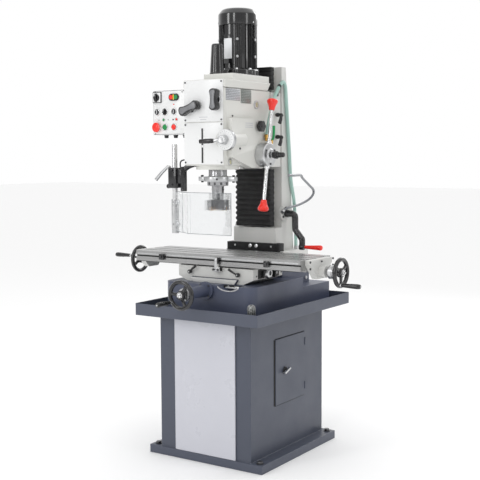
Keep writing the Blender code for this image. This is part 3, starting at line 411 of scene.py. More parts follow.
NODE_LOOKS = {
    "stand": ("stand_cabinet", "cabinet_door", "chip_tray"),
    "base": ("machine_base", "y_screw_bracket"),
    "panel": ("front_panel",),
    "head": ("head_casting", "head_top"),
    "column": ("column", "carriage"),
    "saddle": ("saddle", "table_end_left", "table_end_right"),
    "table": ("table",),
    "steel": ("x_leadscrew", "y_leadscrew", "z_leadscrew", "spindle", "quill", "spindle_gear", "motor_pinion",
              "face_mill"),
    "black_enamel": ("crank_arm", "handwheel_left", "handwheel_right", "handwheel_front", "guard_bracket"),
    "black": ("saddle_lock_left", "saddle_lock_right", "column_lock_upper", "column_lock_lower", "grip_left",
              "grip_right", "grip_front", "feed_lock_knob", "drawbar_cap", "main_switch", "mode_selector",
              "speed_knob_left", "speed_knob_right"),
    "dark_steel": ("table_stop_left", "table_stop_right", "coolant_nozzle"),
    "motor": ("motor",),
    "satin": ("feed_hub", "fine_feed_wheel", "door_lock"),
    "red": ("crank_grip", "feed_lever_upper", "feed_lever_lower", "e_stop", "red_button", "stop_button"),
    "green": ("green_button", "start_button"),
    "white": ("control_box",),
    "bellows": ("bellows_lower", "bellows_upper"),
    "hose": ("coolant_hose",),
    "shield": ("guard_post",),
}


def dress_nodes():
    """Give every CAD node its material, and round its edges where that shows."""
    for finish, names in NODE_LOOKS.items():
        for name in names:
            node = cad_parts[name]
            node.data.materials.clear()
            node.data.materials.append(PALETTE[finish])
            if name in ROUNDED:
                round_edges(node, ROUNDED[name])


def round_edges(node, width):
    """Weld the seams of the imported mesh, round its sharp edges and even out the shading."""
    weld = node.modifiers.new("weld", "WELD")
    weld.merge_threshold = 0.00001
    bevel = node.modifiers.new("bevel", "BEVEL")
    bevel.width = width
    bevel.segments = 2
    bevel.limit_method = "ANGLE"
    bevel.angle_limit = math.radians(28)
    bevel.use_clamp_overlap = True
    normals = node.modifiers.new("normals", "WEIGHTED_NORMAL")
    normals.weight = 100
    for face in node.data.polygons:
        face.use_smooth = True


# ---------------------------------------------------------------- shape tools
def spot(place, out=Z, up=None, turn=0):
    """A local frame at a point: its third axis runs along out and its second lies near up."""
    w = Vector(out).normalized()
    if up is None:
        up = Z if abs(w.z) < 0.9 else Y
    u = Vector(up).cross(w).normalized()
    v = w.cross(u)
    local = Matrix((u, v, w)).transposed().to_4x4()
    local.translation = Vector(place)
    return local @ Matrix.Rotation(math.radians(turn), 4, "Z")


def around(angle, radius=1.0):
    """A point on a circle, from an angle in degrees."""
    a = math.radians(angle)
    return Vector((math.cos(a) * radius, math.sin(a) * radius))


def filleted(profile, fillet, steps=3):
    """The profile with each plain corner turned to a small arc."""
    out = [profile[0]]
    for before, corner, after in zip(profile, profile[1:], profile[2:]):
        if len(corner) > 2 or len(before) > 2 or len(after) > 2:
            out.append(corner)
            continue
        middle = Vector(corner)
        back = Vector(before) - middle
        ahead = Vector(after) - middle
        if not back.length or not ahead.length:
            continue
        reach = min(fillet, back.length * 0.45, ahead.length * 0.45)
        start = middle + back.normalized() * reach
        end = middle + ahead.normalized() * reach
        for k in range(steps + 1):
            t = k / steps
            out.append(tuple((1 - t) ** 2 * start + 2 * t * (1 - t) * middle + t * t * end))
    out.append(profile[-1])
    return out


def flowing(knots, steps=8):
    """A smooth line through the knots."""
    knots = [Vector(p) for p in knots]
    padded = [2 * knots[0] - knots[1]] + knots + [2 * knots[-1] - knots[-2]]
    out = []
    for a, b, c, d in zip(padded, padded[1:], padded[2:], padded[3:]):
        for k in range(steps):
            t = k / steps
            out.append(0.5 * (2 * b + (c - a) * t + (2 * a - 5 * b + 4 * c - d) * t * t
                              + (3 * b - a - 3 * c + d) * t ** 3))
    out.append(knots[-1])
    return out


def flat_sided(angle, sides):
    """How much nearer than its corners a regular polygon's side lies, at an angle in radians."""
    step = 2 * math.pi / sides
    return math.cos(step / 2) / math.cos(angle % step - step / 2)


class Piece:
    """One visible piece. Its shapes share a mesh, and each shape carries its own finish."""

    def __init__(self, name, body, slot, *hides):
        self.name = name
        self.body = body
        self.slot = slot
        self.hides = hides
        self.mesh = bmesh.new()
        self.finishes = []

    def paint(self, faces, finish):
        if finish not in self.finishes:
            self.finishes.append(finish)
        for face in faces:
            face.material_index = self.finishes.index(finish)
            face.smooth = True
        return faces

    def skin(self, rings, finish):
        """Join rings of points, each closed on itself; a ring of one point closes an end."""
        faces = []
        for low, high in zip(rings, rings[1:]):
            count = max(len(low), len(high))
            for k in range(count):
                j = (k + 1) % count
                corners = [low[k % len(low)], low[j % len(low)], high[j % len(high)], high[k % len(high)]]
                corners = list(dict.fromkeys(corners))
                if len(corners) > 2:
                    faces.append(self.mesh.faces.new(corners))
        return self.paint(faces, finish)

    def soften(self, faces, bevel, segments=2, least=20):
        """Round the edges that turn more than so many degrees."""
        edges = {e for f in faces for e in f.edges}
        edges = [e for e in edges if e.is_manifold and e.calc_face_angle(0) > math.radians(least)]
        if bevel and edges:
            bmesh.ops.bevel(self.mesh, geom=edges, offset=bevel, offset_type="OFFSET", segments=segments,
                            profile=0.5, affect="EDGES", clamp_overlap=True, material=-1)

    def lathe(self, place, profile, finish, sides=36, fillet=0.0):
        """Turn (radius, height) points about the frame's third axis; a third number makes that ring a polygon."""
        rings = []
        for radius, height, *flats in (filleted(profile, fillet) if fillet else profile):
            if radius < 1e-7:
                rings.append([self.mesh.verts.new(place @ Vector((0, 0, height)))])
                continue
            ring = []
            for k in range(sides):
                a = 2 * math.pi * k / sides
                r = radius * (flat_sided(a, flats[0]) if flats else 1)
                ring.append(self.mesh.verts.new(place @ Vector((r * math.cos(a), r * math.sin(a), height))))
            rings.append(ring)
        return self.skin(rings, finish)

    def prism(self, place, outline, low, high, finish, bevel=0.0008, segments=2, taper=1.0):
        """An outline in the frame's first two axes, taken from low to high, its rims rounded."""
        bottom = [self.mesh.verts.new(place @ Vector((x, y, low))) for x, y in outline]
        top = [self.mesh.verts.new(place @ Vector((x * taper, y * taper, high))) for x, y in outline]
        faces = self.skin([bottom, top], finish)
        faces += self.paint([self.mesh.faces.new(bottom), self.mesh.faces.new(top)], finish)
        bmesh.ops.recalc_face_normals(self.mesh, faces=faces)
        self.soften(faces, bevel, segments)

    def block(self, low, high, finish, bevel=0.0008, place=Matrix(), segments=2):
        x0, y0, z0 = low
        x1, y1, z1 = high
        self.prism(place, [(x0, y0), (x1, y0), (x1, y1), (x0, y1)], z0, z1, finish, bevel, segments)

    def tube(self, line, radius, finish, sides=14, closed=False, squash=1.0):
        """A round section carried along a line; radius is a number, or a function of the share of the way."""
        line = [Vector(p) for p in line]
        last = len(line) - 1
        side = None
        rings = []
        for k, point in enumerate(line):
            behind = line[k - 1] if closed else line[max(k - 1, 0)]
            beyond = line[(k + 1) % len(line)] if closed else line[min(k + 1, last)]
            ahead = (beyond - behind).normalized()
            if side is None:
                side = ahead.orthogonal().normalized()
            side = (side - ahead * side.dot(ahead)).normalized()
            other = ahead.cross(side) * squash
            r = radius(k / last) if callable(radius) else radius
            rings.append([self.mesh.verts.new(point + (side * math.cos(a) + other * math.sin(a)) * r)
                          for a in (2 * math.pi * i / sides for i in range(sides))])
        if closed:
            rings.append(rings[0])
        else:
            rings = [[self.mesh.verts.new(line[0])]] + rings + [[self.mesh.verts.new(line[-1])]]
        return self.skin(rings, finish)

    def cap_screw(self, place, radius, finish="dark_steel", height=None):
        """A socket cap screw's head, standing on the frame's ground."""
        h = height or radius * 1.3
        self.lathe(place, [(radius, 0), (radius, h * 0.88), (radius * 0.9, h), (radius * 0.62, h, 6),
                           (radius * 0.55, h * 0.5, 6), (0, h * 0.45)], finish, sides=24)

    def hex_bolt(self, place, radius, finish="satin"):
        """A hexagon head with its washer."""
        self.lathe(place, [(radius * 1.25, 0), (radius * 1.25, radius * 0.16), (radius * 0.9, radius * 0.2)], finish)
        self.lathe(place, [(radius, radius * 0.16, 6), (radius, radius * 0.72, 6), (radius * 0.84, radius * 0.84),
                           (0, radius * 0.86)], finish, sides=36)

    def pan_screw(self, place, radius, finish="satin"):
        """A low domed head with a round recess."""
        self.lathe(place, [(radius, 0), (radius * 0.96, radius * 0.25), (radius * 0.7, radius * 0.48),
                           (radius * 0.3, radius * 0.56), (radius * 0.2, radius * 0.25), (0, radius * 0.2)],
                   finish, sides=20)

    def marks(self, place, radius, count, low, high, finish, every=5, longer=1.8, width=0.0006):
        """Graduations round a dial: thin raised lines, each so many of them longer."""
        for k in range(count):
            turn = place @ Matrix.Rotation(2 * math.pi * k / count, 4, "Z")
            reach = low + (high - low) * (1 if k % every == 0 else 1 / longer)
            self.block((radius - 0.0002, -width / 2, low), (radius + 0.00015, width / 2, reach), finish, 0, turn)

    def done(self, creases=38):
        """Turn the gathered shapes into an object that rides its body."""
        bmesh.ops.recalc_face_normals(self.mesh, faces=self.mesh.faces)
        for edge in self.mesh.edges:
            if edge.is_manifold and edge.calc_face_angle(0) > math.radians(creases):
                edge.smooth = False
        data = bpy.data.meshes.new(self.name)
        self.mesh.to_mesh(data)
        self.mesh.free()
        obj = bpy.data.objects.new(self.name, data)
        for finish in self.finishes:
            data.materials.append(PALETTE[finish])
        scene.collection.objects.link(obj)
        if self.hides:
            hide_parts(*self.hides)
        if self.body:
            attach(obj, self.body)
        return obj


# ---------------------------------------------------------------- handwheels, crank and screws
def handwheel(name, body, centre, out, first, node):
    """A cast handwheel: a rim of round section, three flat tapering spokes and a bright hub nut."""
    wheel = Piece(name, body, "black_iron", node)
    place = spot(centre, out)
    rim = [place @ Vector((*around(k * 5, WHEEL_RADIUS - RIM_RADIUS), 0)) for k in range(72)]
    wheel.tube(rim, RIM_RADIUS, "black_enamel", 18, closed=True)
    wheel.lathe(place, [(0.0085, 0.0095), (0.0160, 0.0095), (0.0185, 0.0060), (0.0190, -0.0040),
                        (0.0175, -0.0120), (0.0085, -0.0120)], "black_enamel", fillet=0.002)
    for k in range(3):
        spoke = place @ Matrix.Rotation(math.radians(first + 120 * k), 4, "Z")
        root, tip, half = 0.0140, WHEEL_RADIUS - RIM_RADIUS * 1.5, 0.0085
        outline = [(root, -half), (0.030, -half * 0.66), (tip, -half * 0.82),
                   (tip, half * 0.82), (0.030, half * 0.66), (root, half)]
        wheel.prism(spoke, outline, -0.0045, 0.0045, "black_enamel", 0.0022, 3)
    wheel.lathe(place, [(0.0125, 0.0090), (0.0125, 0.0104), (0.0088, 0.0106)], "chrome")
    wheel.lathe(place, [(0.0092, 0.0100, 6), (0.0092, 0.0150, 6), (0.0070, 0.0164), (0.0048, 0.0168),
                        (0.0045, 0.0200), (0, 0.0206)], "chrome", 36)
    return wheel.done()


def wheel_grip(name, body, centre, out, angle, node):
    """A revolving phenolic grip on its bright stud."""
    grip = Piece(name, body, "black_plastic", node)
    place = spot(centre, out)
    side = Y if abs(Vector(out).x) > 0.5 else X
    radial = side * math.cos(math.radians(angle)) + Z * math.sin(math.radians(angle))
    place.translation = Vector(centre) + radial * (WHEEL_RADIUS - RIM_RADIUS)
    grip.lathe(place, [(0, 0.0095), (0.0052, 0.0095), (0.0052, 0.0120), (0.0068, 0.0128), (0.0068, 0.0150),
                       (0.0058, 0.0162)], "chrome", 28, 0.0006)
    grip.lathe(place, [(0.0058, 0.0150), (0.0070, 0.0165), (0.0080, 0.0350), (0.0094, 0.0640),
                       (0.0100, 0.0850), (0.0088, 0.0965), (0.0045, 0.0992), (0.0036, 0.0975)], "black", 32, 0.0025)
    grip.lathe(place, [(0.0040, 0.0980), (0.0034, 0.0988), (0, 0.0990)], "satin", 20)
    return grip.done()


def dial(name, body, place, radius, length, hides=()):
    """A graduated collar with a knurled lock ring."""
    collar = Piece(name, body, "steel", *hides)
    collar.lathe(place, [(0.010, 0), (radius, 0), (radius, length * 0.62), (radius - 0.0015, length * 0.66),
                         (radius - 0.0015, length), (0.010, length)], "satin", 64, 0.0008)
    collar.marks(place, radius, 50, 0.0004, 0.0075, "ink")
    knurl = 64
    for k in range(knurl):
        turn = place @ Matrix.Rotation(2 * math.pi * k / knurl, 4, "Z")
        collar.block((radius - 0.0018, -0.0006, length * 0.70), (radius - 0.0008, 0.0006, length * 0.97),
                     "satin", 0, turn)
    return collar.done()


def wheels():
    handwheel("wheel_left", "x_screw", (-0.4865, X_AXIS.y, X_AXIS.z), -X, 90, "handwheel_left")
    handwheel("wheel_right", "x_screw", (0.5225, X_AXIS.y, X_AXIS.z), X, 30, "handwheel_right")
    handwheel("wheel_front", "y_screw", (0, Y_AXIS.y, Y_AXIS.z), FRONT, 55, "handwheel_front")
    wheel_grip("wheel_grip_left", "grip_left", (-0.4865, X_AXIS.y, X_AXIS.z), -X, 160, "grip_left")
    wheel_grip("wheel_grip_right", "grip_right", (0.5225, X_AXIS.y, X_AXIS.z), X, 240, "grip_right")
    wheel_grip("wheel_grip_front", "grip_front", (0, Y_AXIS.y, Y_AXIS.z), FRONT, 215, "grip_front")
    dial("x_dial", "x_screw", spot((0.4748, X_AXIS.y, X_AXIS.z), X), 0.0270, 0.0222)
    dial("x_dial_left", "x_screw", spot((-0.4610, X_AXIS.y, X_AXIS.z), -X), 0.0150, 0.0120)
    dial("y_dial", "y_screw", spot((0, -0.3972, Y_AXIS.z), FRONT), 0.0268, 0.0340)


def column_crank():
    """The column's crank: a black hub, a cast arm with two soft bends and a red grip."""
    arm = Piece("crank_casting", "crank", "black_iron", "crank_arm")
    y, z = CRANK_AXIS.y, CRANK_AXIS.z
    arm.lathe(spot((0.1195, y, z), X), [(0, 0), (0.0150, 0), (0.0160, 0.003), (0.0160, 0.014), (0, 0.014)],
              "black_enamel", 32, 0.0015)
    line = flowing([(0.128, y, z), (0.150, y, z), (0.161, y, z - 0.004), (0.166, y, z - 0.016),
                    (0.167, y, z - 0.060), (0.171, y, z - 0.072), (0.195, y, z - 0.100), (0.201, y, z - 0.112),
                    (0.201, y, z - 0.146)], 7)
    arm.tube(line, lambda t: 0.0146 - 0.0016 * t, "black_enamel", 20)
    arm.lathe(spot((0.190, y, z - 0.141), X), [(0, 0), (0.0125, 0), (0.0135, 0.0020), (0.0135, 0.0190), (0.0125, 0.0210),
                                       (0, 0.0210)], "black_enamel", 32, 0.001)
    arm.lathe(spot((0.1885, y, z - 0.141), -X), [(0.006, -0.002), (0.0058, 0.002), (0.004, 0.0032), (0, 0.0034)], "chrome", 24)
    arm.done()
    grip = Piece("crank_handle", "crank_grip", "red_plastic", "crank_grip")
    place = spot((0.2125, y, z - 0.141), X)
    grip.lathe(place, [(0, 0), (0.0052, 0), (0.0052, 0.004), (0.0070, 0.0045)], "chrome", 24)
    grip.lathe(place, [(0.0068, 0.0035), (0.0074, 0.0050), (0.0084, 0.030), (0.0106, 0.066), (0.0114, 0.078),
                       (0.0095, 0.0850), (0.0040, 0.0865), (0, 0.0860)], "red", 32, 0.0025)
    grip.done()


# ---------------------------------------------------------------- motor and head
def motor():
    """The flange motor: a ribbed barrel under a fan cowl, on a bolted foot."""
    body = Piece("motor_body", "head", "black_iron", "motor")
    place = spot((0, MOTOR_Y, 0))
    body.lathe(place, [(0, 1.5837), (0.0808, 1.5837), (0.0808, 1.6060), (0.0790, 1.6100), (0.0745, 1.6120),
                       (0.0738, 1.6180), (0.0738, 1.8020)], "motor", 72, 0.0015)
    plain = ((-106, -70), (-46, -24), (-4, 4), (56, 64), (116, 124), (176, 184))
    for k in range(60):
        angle = -180 + 6 * k
        if any(low <= angle <= high for low, high in plain) or angle < -172:
            continue
        turn = place @ Matrix.Rotation(math.radians(angle), 4, "Z")
        body.block((0.0725, -0.0011, 1.6130), (0.0800, 0.0011, 1.8000), "motor", 0.0005, turn)
    for first, last, radius, low, high in ((-46, -36, 0.0796, 1.6130, 1.8000), (-32, -25, 0.0796, 1.6130, 1.8000),
                                           (-104, -71, 0.0796, 1.6330, 1.7500)):
        face = [(a, radius) for a in range(first, last + 1)] + [(a, 0.0725) for a in range(last, first - 1, -1)]
        body.prism(place, [tuple(around(a, r)) for a, r in face], low, high, "motor", 0.0012)
    for angle in (-128, -58, 2, 62, 122, 182):
        for z in (1.7300, 1.6600):
            out = around(angle)
            boss = spot(Vector((0, MOTOR_Y, z)) + Vector((out.x, out.y, 0)) * 0.0730, (out.x, out.y, 0))
            body.lathe(boss, [(0, 0), (0.0080, 0), (0.0072, 0.0105), (0, 0.0105)], "motor", 28, 0.0012)
            body.lathe(boss, [(0.0052, 0.0100), (0.0052, 0.0125), (0.0040, 0.0135), (0, 0.0136)], "satin", 20)
    for angle in (-108, -62, -18, 45, 135):
        out = around(angle)
        lug = spot((out.x * 0.0780, MOTOR_Y + out.y * 0.0780, 1.5990))
        body.lathe(lug, [(0.0120, -0.012), (0.0115, 0.0080), (0, 0.0080)], "motor", 28, 0.0015)
        body.hex_bolt(lug @ Matrix.Translation((0, 0, 0.0080)), 0.0080)
    body.done()
    cowl = Piece("motor_cowl", "head", "black_iron")
    cowl.lathe(place, [(0.0795, 1.7920), (0.0816, 1.7920), (0.0819, 1.8330), (0.0810, 1.8380), (0.0690, 1.8540),
                       (0.0610, 1.8590), (0.0590, 1.8570)], "motor", 72, 0.003)
    for radius in (0.0560, 0.0465, 0.0370, 0.0275, 0.0180):
        ring = [Vector((radius * math.cos(a), MOTOR_Y + radius * math.sin(a), 1.8565))
                for a in (2 * math.pi * k / 48 for k in range(48))]
        cowl.tube(ring, 0.0014, "motor", 8, closed=True)
    for k in range(8):
        out = around(45 * k)
        start = Vector((out.x * 0.012, MOTOR_Y + out.y * 0.012, 1.8560))
        end = Vector((out.x * 0.0615, MOTOR_Y + out.y * 0.0615, 1.8560))
        cowl.tube([start, end], 0.0016, "motor", 8)
    cowl.lathe(spot((0, MOTOR_Y, 1.8540)), [(0.0125, 0), (0.0125, 0.0030), (0.0105, 0.0045), (0, 0.0048)], "motor", 36)
    # painted shade: a near-black disc under the grille stands for the shade inside the fan cowl
    cowl.lathe(spot((0, MOTOR_Y, 1.8060)), [(0.0780, 0), (0.0780, 0.0300), (0, 0.0305)], "painted_shade", 48)
    for angle in (-135, -5, 45, 135):
        out = around(angle)
        cowl.pan_screw(spot(Vector((out.x, out.y, 0)) * 0.0817 + Vector((0, MOTOR_Y, 1.8010)), (out.x, out.y, 0)), 0.0038)
    cowl.done()
    plate = Piece("motor_label", "head", "plate_white")
    face = [(0.0185 * s, z) for s, z in ((-1, -0.0410), (1, -0.0410), (1, 0.0410), (-1, 0.0410))]
    out = around(-87)
    at = Vector((0, MOTOR_Y, 1.6930)) + Vector((out.x, out.y, 0)) * 0.0797
    plate.prism(spot(at, (out.x, out.y, 0)), face, 0, 0.0012, "label", 0.0004)
    for x, z in ((-0.0150, 0.0375), (0.0150, 0.0375), (-0.0150, -0.0375), (0.0150, -0.0375)):
        plate.pan_screw(spot(at, (out.x, out.y, 0)) @ Matrix.Translation((x, z, 0.0012)), 0.0018)
    plate.done()
    cap = Piece("drawbar_cover", "head", "black_plastic", "drawbar_cap")
    cap.lathe(spot((0, SPINDLE_Y, 0)), [(0.0165, 1.5840), (0.0305, 1.5840), (0.0305, 1.5880), (0.0290, 1.5900),
                                        (0.0222, 1.6990), (0.0190, 1.7050), (0, 1.7054)], "motor", 48, 0.0025)
    cap.done()


def front_plates():
    """The two white plates on the head's front, the depth scale between them and its pointer."""
    plates = Piece("front_plates", "head", "plate_white")
    place = spot((0, HEAD_FRONT, 0), FRONT)
    for low, high in ((1.2205, 1.3865), (1.3895, 1.5545)):
        outline = [(-0.0955, low), (0.0955, low), (0.0955, high), (-0.0955, high)]
        plates.prism(place, outline, 0, 0.0030, "white", 0.0010)
        for x in (-0.0885, 0.0885):
            for z in (low + 0.0075, high - 0.0075):
                plates.cap_screw(spot((x, HEAD_FRONT - 0.0030, z), FRONT), 0.0036, "dark_steel", 0.0025)
    for z, half in ((1.4070, 0.020), (1.3970, 0.015)):
        plates.block((-half, z, 0.0029), (half, z + 0.0024, 0.0032), "mark_grey", 0, place)
    plates.done()
    scale = Piece("depth_scale", "head", "steel")
    scale.block((-0.0092, 1.2260, 0.0020), (-0.0012, 1.3640, 0.0038), "matt_black", 0.0006, place)
    for k in range(27):
        long = 0.0045 if k % 5 == 0 else 0.0028
        scale.block((0.0004, 1.2300 + k * 0.005, 0.0029), (0.0004 + long, 1.2306 + k * 0.005, 0.0032), "ink", 0, place)
    scale.block((-0.0112, 1.2880, 0.0035), (0.0008, 1.2970, 0.0062), "white", 0.0010, place)
    scale.pan_screw(place @ Matrix.Translation((-0.0052, 1.2925, 0.0062)), 0.0024)
    scale.done()


def head_side():
    """What is bolted on the head's right side: plates, oil plugs, sight glass and the locking knob."""
    side = Piece("side_fittings", "head", "steel")
    w = HEAD_HALF_WIDTH
    plate_spots = ((-0.2210, 1.4975, 0.1000, 0.0460, "chart"), (-0.1270, 1.4935, 0.0760, 0.0560, "chart_dark"))
    for y, z, wide, tall, finish in plate_spots:
        side.block((w, y - wide / 2, z - tall / 2), (w + 0.0012, y + wide / 2, z + tall / 2), finish, 0.0003)
        for dy in (-wide / 2 + 0.004, wide / 2 - 0.004):
            for dz in (-tall / 2 + 0.004, tall / 2 - 0.004):
                side.pan_screw(spot((w + 0.0012, y + dy, z + dz), X), 0.0016)
    side.lathe(spot((w, -0.0520, 1.4630), X), [(0.0175, 0), (0.0175, 0.0040), (0.0155, 0.0060), (0.0112, 0.0060),
                                        (0.0108, 0.0040)], "satin", 40, 0.0008)
    side.lathe(spot((w, -0.0520, 1.4630), X), [(0.0110, 0.0036), (0.0070, 0.0046), (0, 0.0048)], "lens", 32)
    for y, z, r in ((-0.2260, 1.4130, 0.0034), (-0.2100, 1.3990, 0.0044)):
        side.cap_screw(spot((w, y, z), X), r, "dark_steel", 0.003)
    for z in (1.3840, 1.3760, 1.3680):
        side.block((HOUSING_X - 0.0002, -0.1650, z), (HOUSING_X + 0.0006, -0.1100, z + 0.0026), "mark_grey", 0)
    side.cap_screw(spot((HOUSING_X, -0.2060, 1.2830), X), 0.0044, "dark_steel", 0.003)
    glass = spot((w, -0.2450, 1.2290), X)
    side.lathe(glass, [(0.0130, 0), (0.0130, 0.0030), (0.0115, 0.0042), (0.0090, 0.0042), (0.0086, 0.0025)], "satin", 40,
               0.0006)
    side.lathe(glass, [(0.0088, 0.0022), (0, 0.0030)], "lens", 32)
    side.done()
    knob = Piece("head_lock_knob", "head", "black_plastic")
    place = spot((HOUSING_X, -0.0712, 1.3740), X)
    knob.lathe(place, [(0.0110, 0), (0.0110, 0.0080), (0.0080, 0.0100)], "black", 32, 0.0008)
    lobes = []
    for k in range(60):
        a = 6 * k
        lobes.append(tuple(around(a, 0.0225 + 0.0020 * math.cos(math.radians(6 * a)))))
    knob.prism(place, lobes, 0.0090, 0.0250, "black", 0.0024, 3)
    knob.lathe(place, [(0.0075, 0.0245), (0.0070, 0.0262), (0, 0.0266)], "black", 28)
    knob.done()


# ---------------------------------------------------------------- feeds and spindle
def feed():
    """The quill feed: a bright drum, two rods with red knobs, and the lock knob on its end."""
    hub = Piece("feed_drum", "feed_hub", "chrome", "feed_hub")
    place = spot(FEED_HUB, X)
    hub.lathe(place, [(0.0400, 0.0003), (0.0498, 0.0003), (0.0498, 0.0410), (0.0465, 0.0455), (0.0280, 0.0458),
                      (0.0262, 0.0470), (0.0225, 0.0518), (0, 0.0518)], "satin", 72, 0.0012)
    for k in range(3):
        hub.cap_screw(place @ Matrix.Rotation(math.radians(30 + 120 * k), 4, "Z")
                      @ Matrix.Translation((0.0370, 0, 0.0457)), 0.0042, "dark_steel", 0.003)
    middle = FEED_HUB + X * 0.033
    tilt = math.radians(9.5)
    for way in (1, -1):
        out = Vector((0, math.sin(tilt), math.cos(tilt))) * way
        hub.lathe(spot(middle, out), [(0.0115, 0.044), (0.0115, 0.0530), (0.0100, 0.0560), (0.0070, 0.0565)], "chrome",
                  32, 0.0008)
    hub.done()
    for name, way in (("feed_lever_upper", 1), ("feed_lever_lower", -1)):
        out = Vector((0, math.sin(tilt), math.cos(tilt))) * way
        lever = Piece(name.replace("feed_lever", "feed_handle"), "feed_hub", "chrome", name)
        place = spot(middle, out)
        lever.lathe(place, [(0.0072, 0.0525), (0.0072, 0.1790), (0.0068, 0.1910), (0, 0.1910)], "chrome", 32)
        lever.lathe(place, [(0.0090, 0.1860), (0.0110, 0.1860), (0.0122, 0.1900), (0.0135, 0.1990), (0.0170, 0.2090),
                            (0.0215, 0.2160), (0.0230, 0.2225), (0.0218, 0.2285), (0.0155, 0.2335), (0, 0.2348)],
                    "red", 40, 0.003)
        lever.done()
    lock = Piece("feed_lock", "feed_lock", "black_plastic", "feed_lock_knob")
    place = spot(FEED_HUB + X * 0.052, X)
    lock.lathe(place, [(0, 0.0006), (0.0080, 0.0006), (0.0080, 0.0080)], "satin", 28)
    lobes = [tuple(around(6 * k, 0.0150 + 0.0013 * math.cos(math.radians(5 * 6 * k)))) for k in range(60)]
    lock.prism(place, lobes, 0.0075, 0.0280, "black", 0.0020, 3)
    lock.lathe(place, [(0.0120, 0.0270), (0.0108, 0.0350), (0.0100, 0.0560), (0.0085, 0.0592), (0, 0.0598)], "black", 32,
               0.0015)
    lock.done()


def fine_feed():
    wheel = Piece("fine_dial", "fine_feed", "steel", "fine_feed_wheel")
    place = spot(FINE_FEED, FRONT)
    wheel.lathe(place, [(0.0060, -0.0010), (0.0415, 0.0010), (0.0423, 0.0030), (0.0423, 0.0170), (0.0405, 0.0205)],
                "satin", 72, 0.0006)
    wheel.lathe(place, [(0.0408, 0.0203), (0.0378, 0.0222), (0.0195, 0.0222)], "white", 72, 0.0008)
    wheel.lathe(place, [(0.0195, 0.0222), (0.0175, 0.0236), (0.0175, 0.0440), (0.0155, 0.0490), (0.0115, 0.0495),
                        (0.0110, 0.0480), (0, 0.0478)], "satin", 56, 0.0012)
    wheel.marks(place, 0.0424, 60, 0.0040, 0.0140, "ink")
    for k in range(20):
        turn = place @ Matrix.Rotation(math.radians(18 * k), 4, "Z")
        reach = 0.0365 if k % 5 == 0 else 0.0350
        wheel.block((0.0320, -0.0004, 0.0221), (reach, 0.0004, 0.0224), "ink", 0, turn)
    start = FINE_FEED + Vector((-0.012, -0.0370, 0))
    line = flowing([start, FINE_FEED + Vector((-0.032, -0.0385, -0.002)), FINE_FEED + Vector((-0.052, -0.0400, -0.004)),
                    FINE_FEED + Vector((-0.104, -0.0430, -0.006))], 8)
    wheel.tube(line[:14], 0.0056, "satin", 20)
    wheel.tube(line[12:], lambda t: 0.0064 + 0.0034 * math.sin(math.pi * min(1, 0.08 + 0.72 * t)), "black", 24)
    wheel.done()


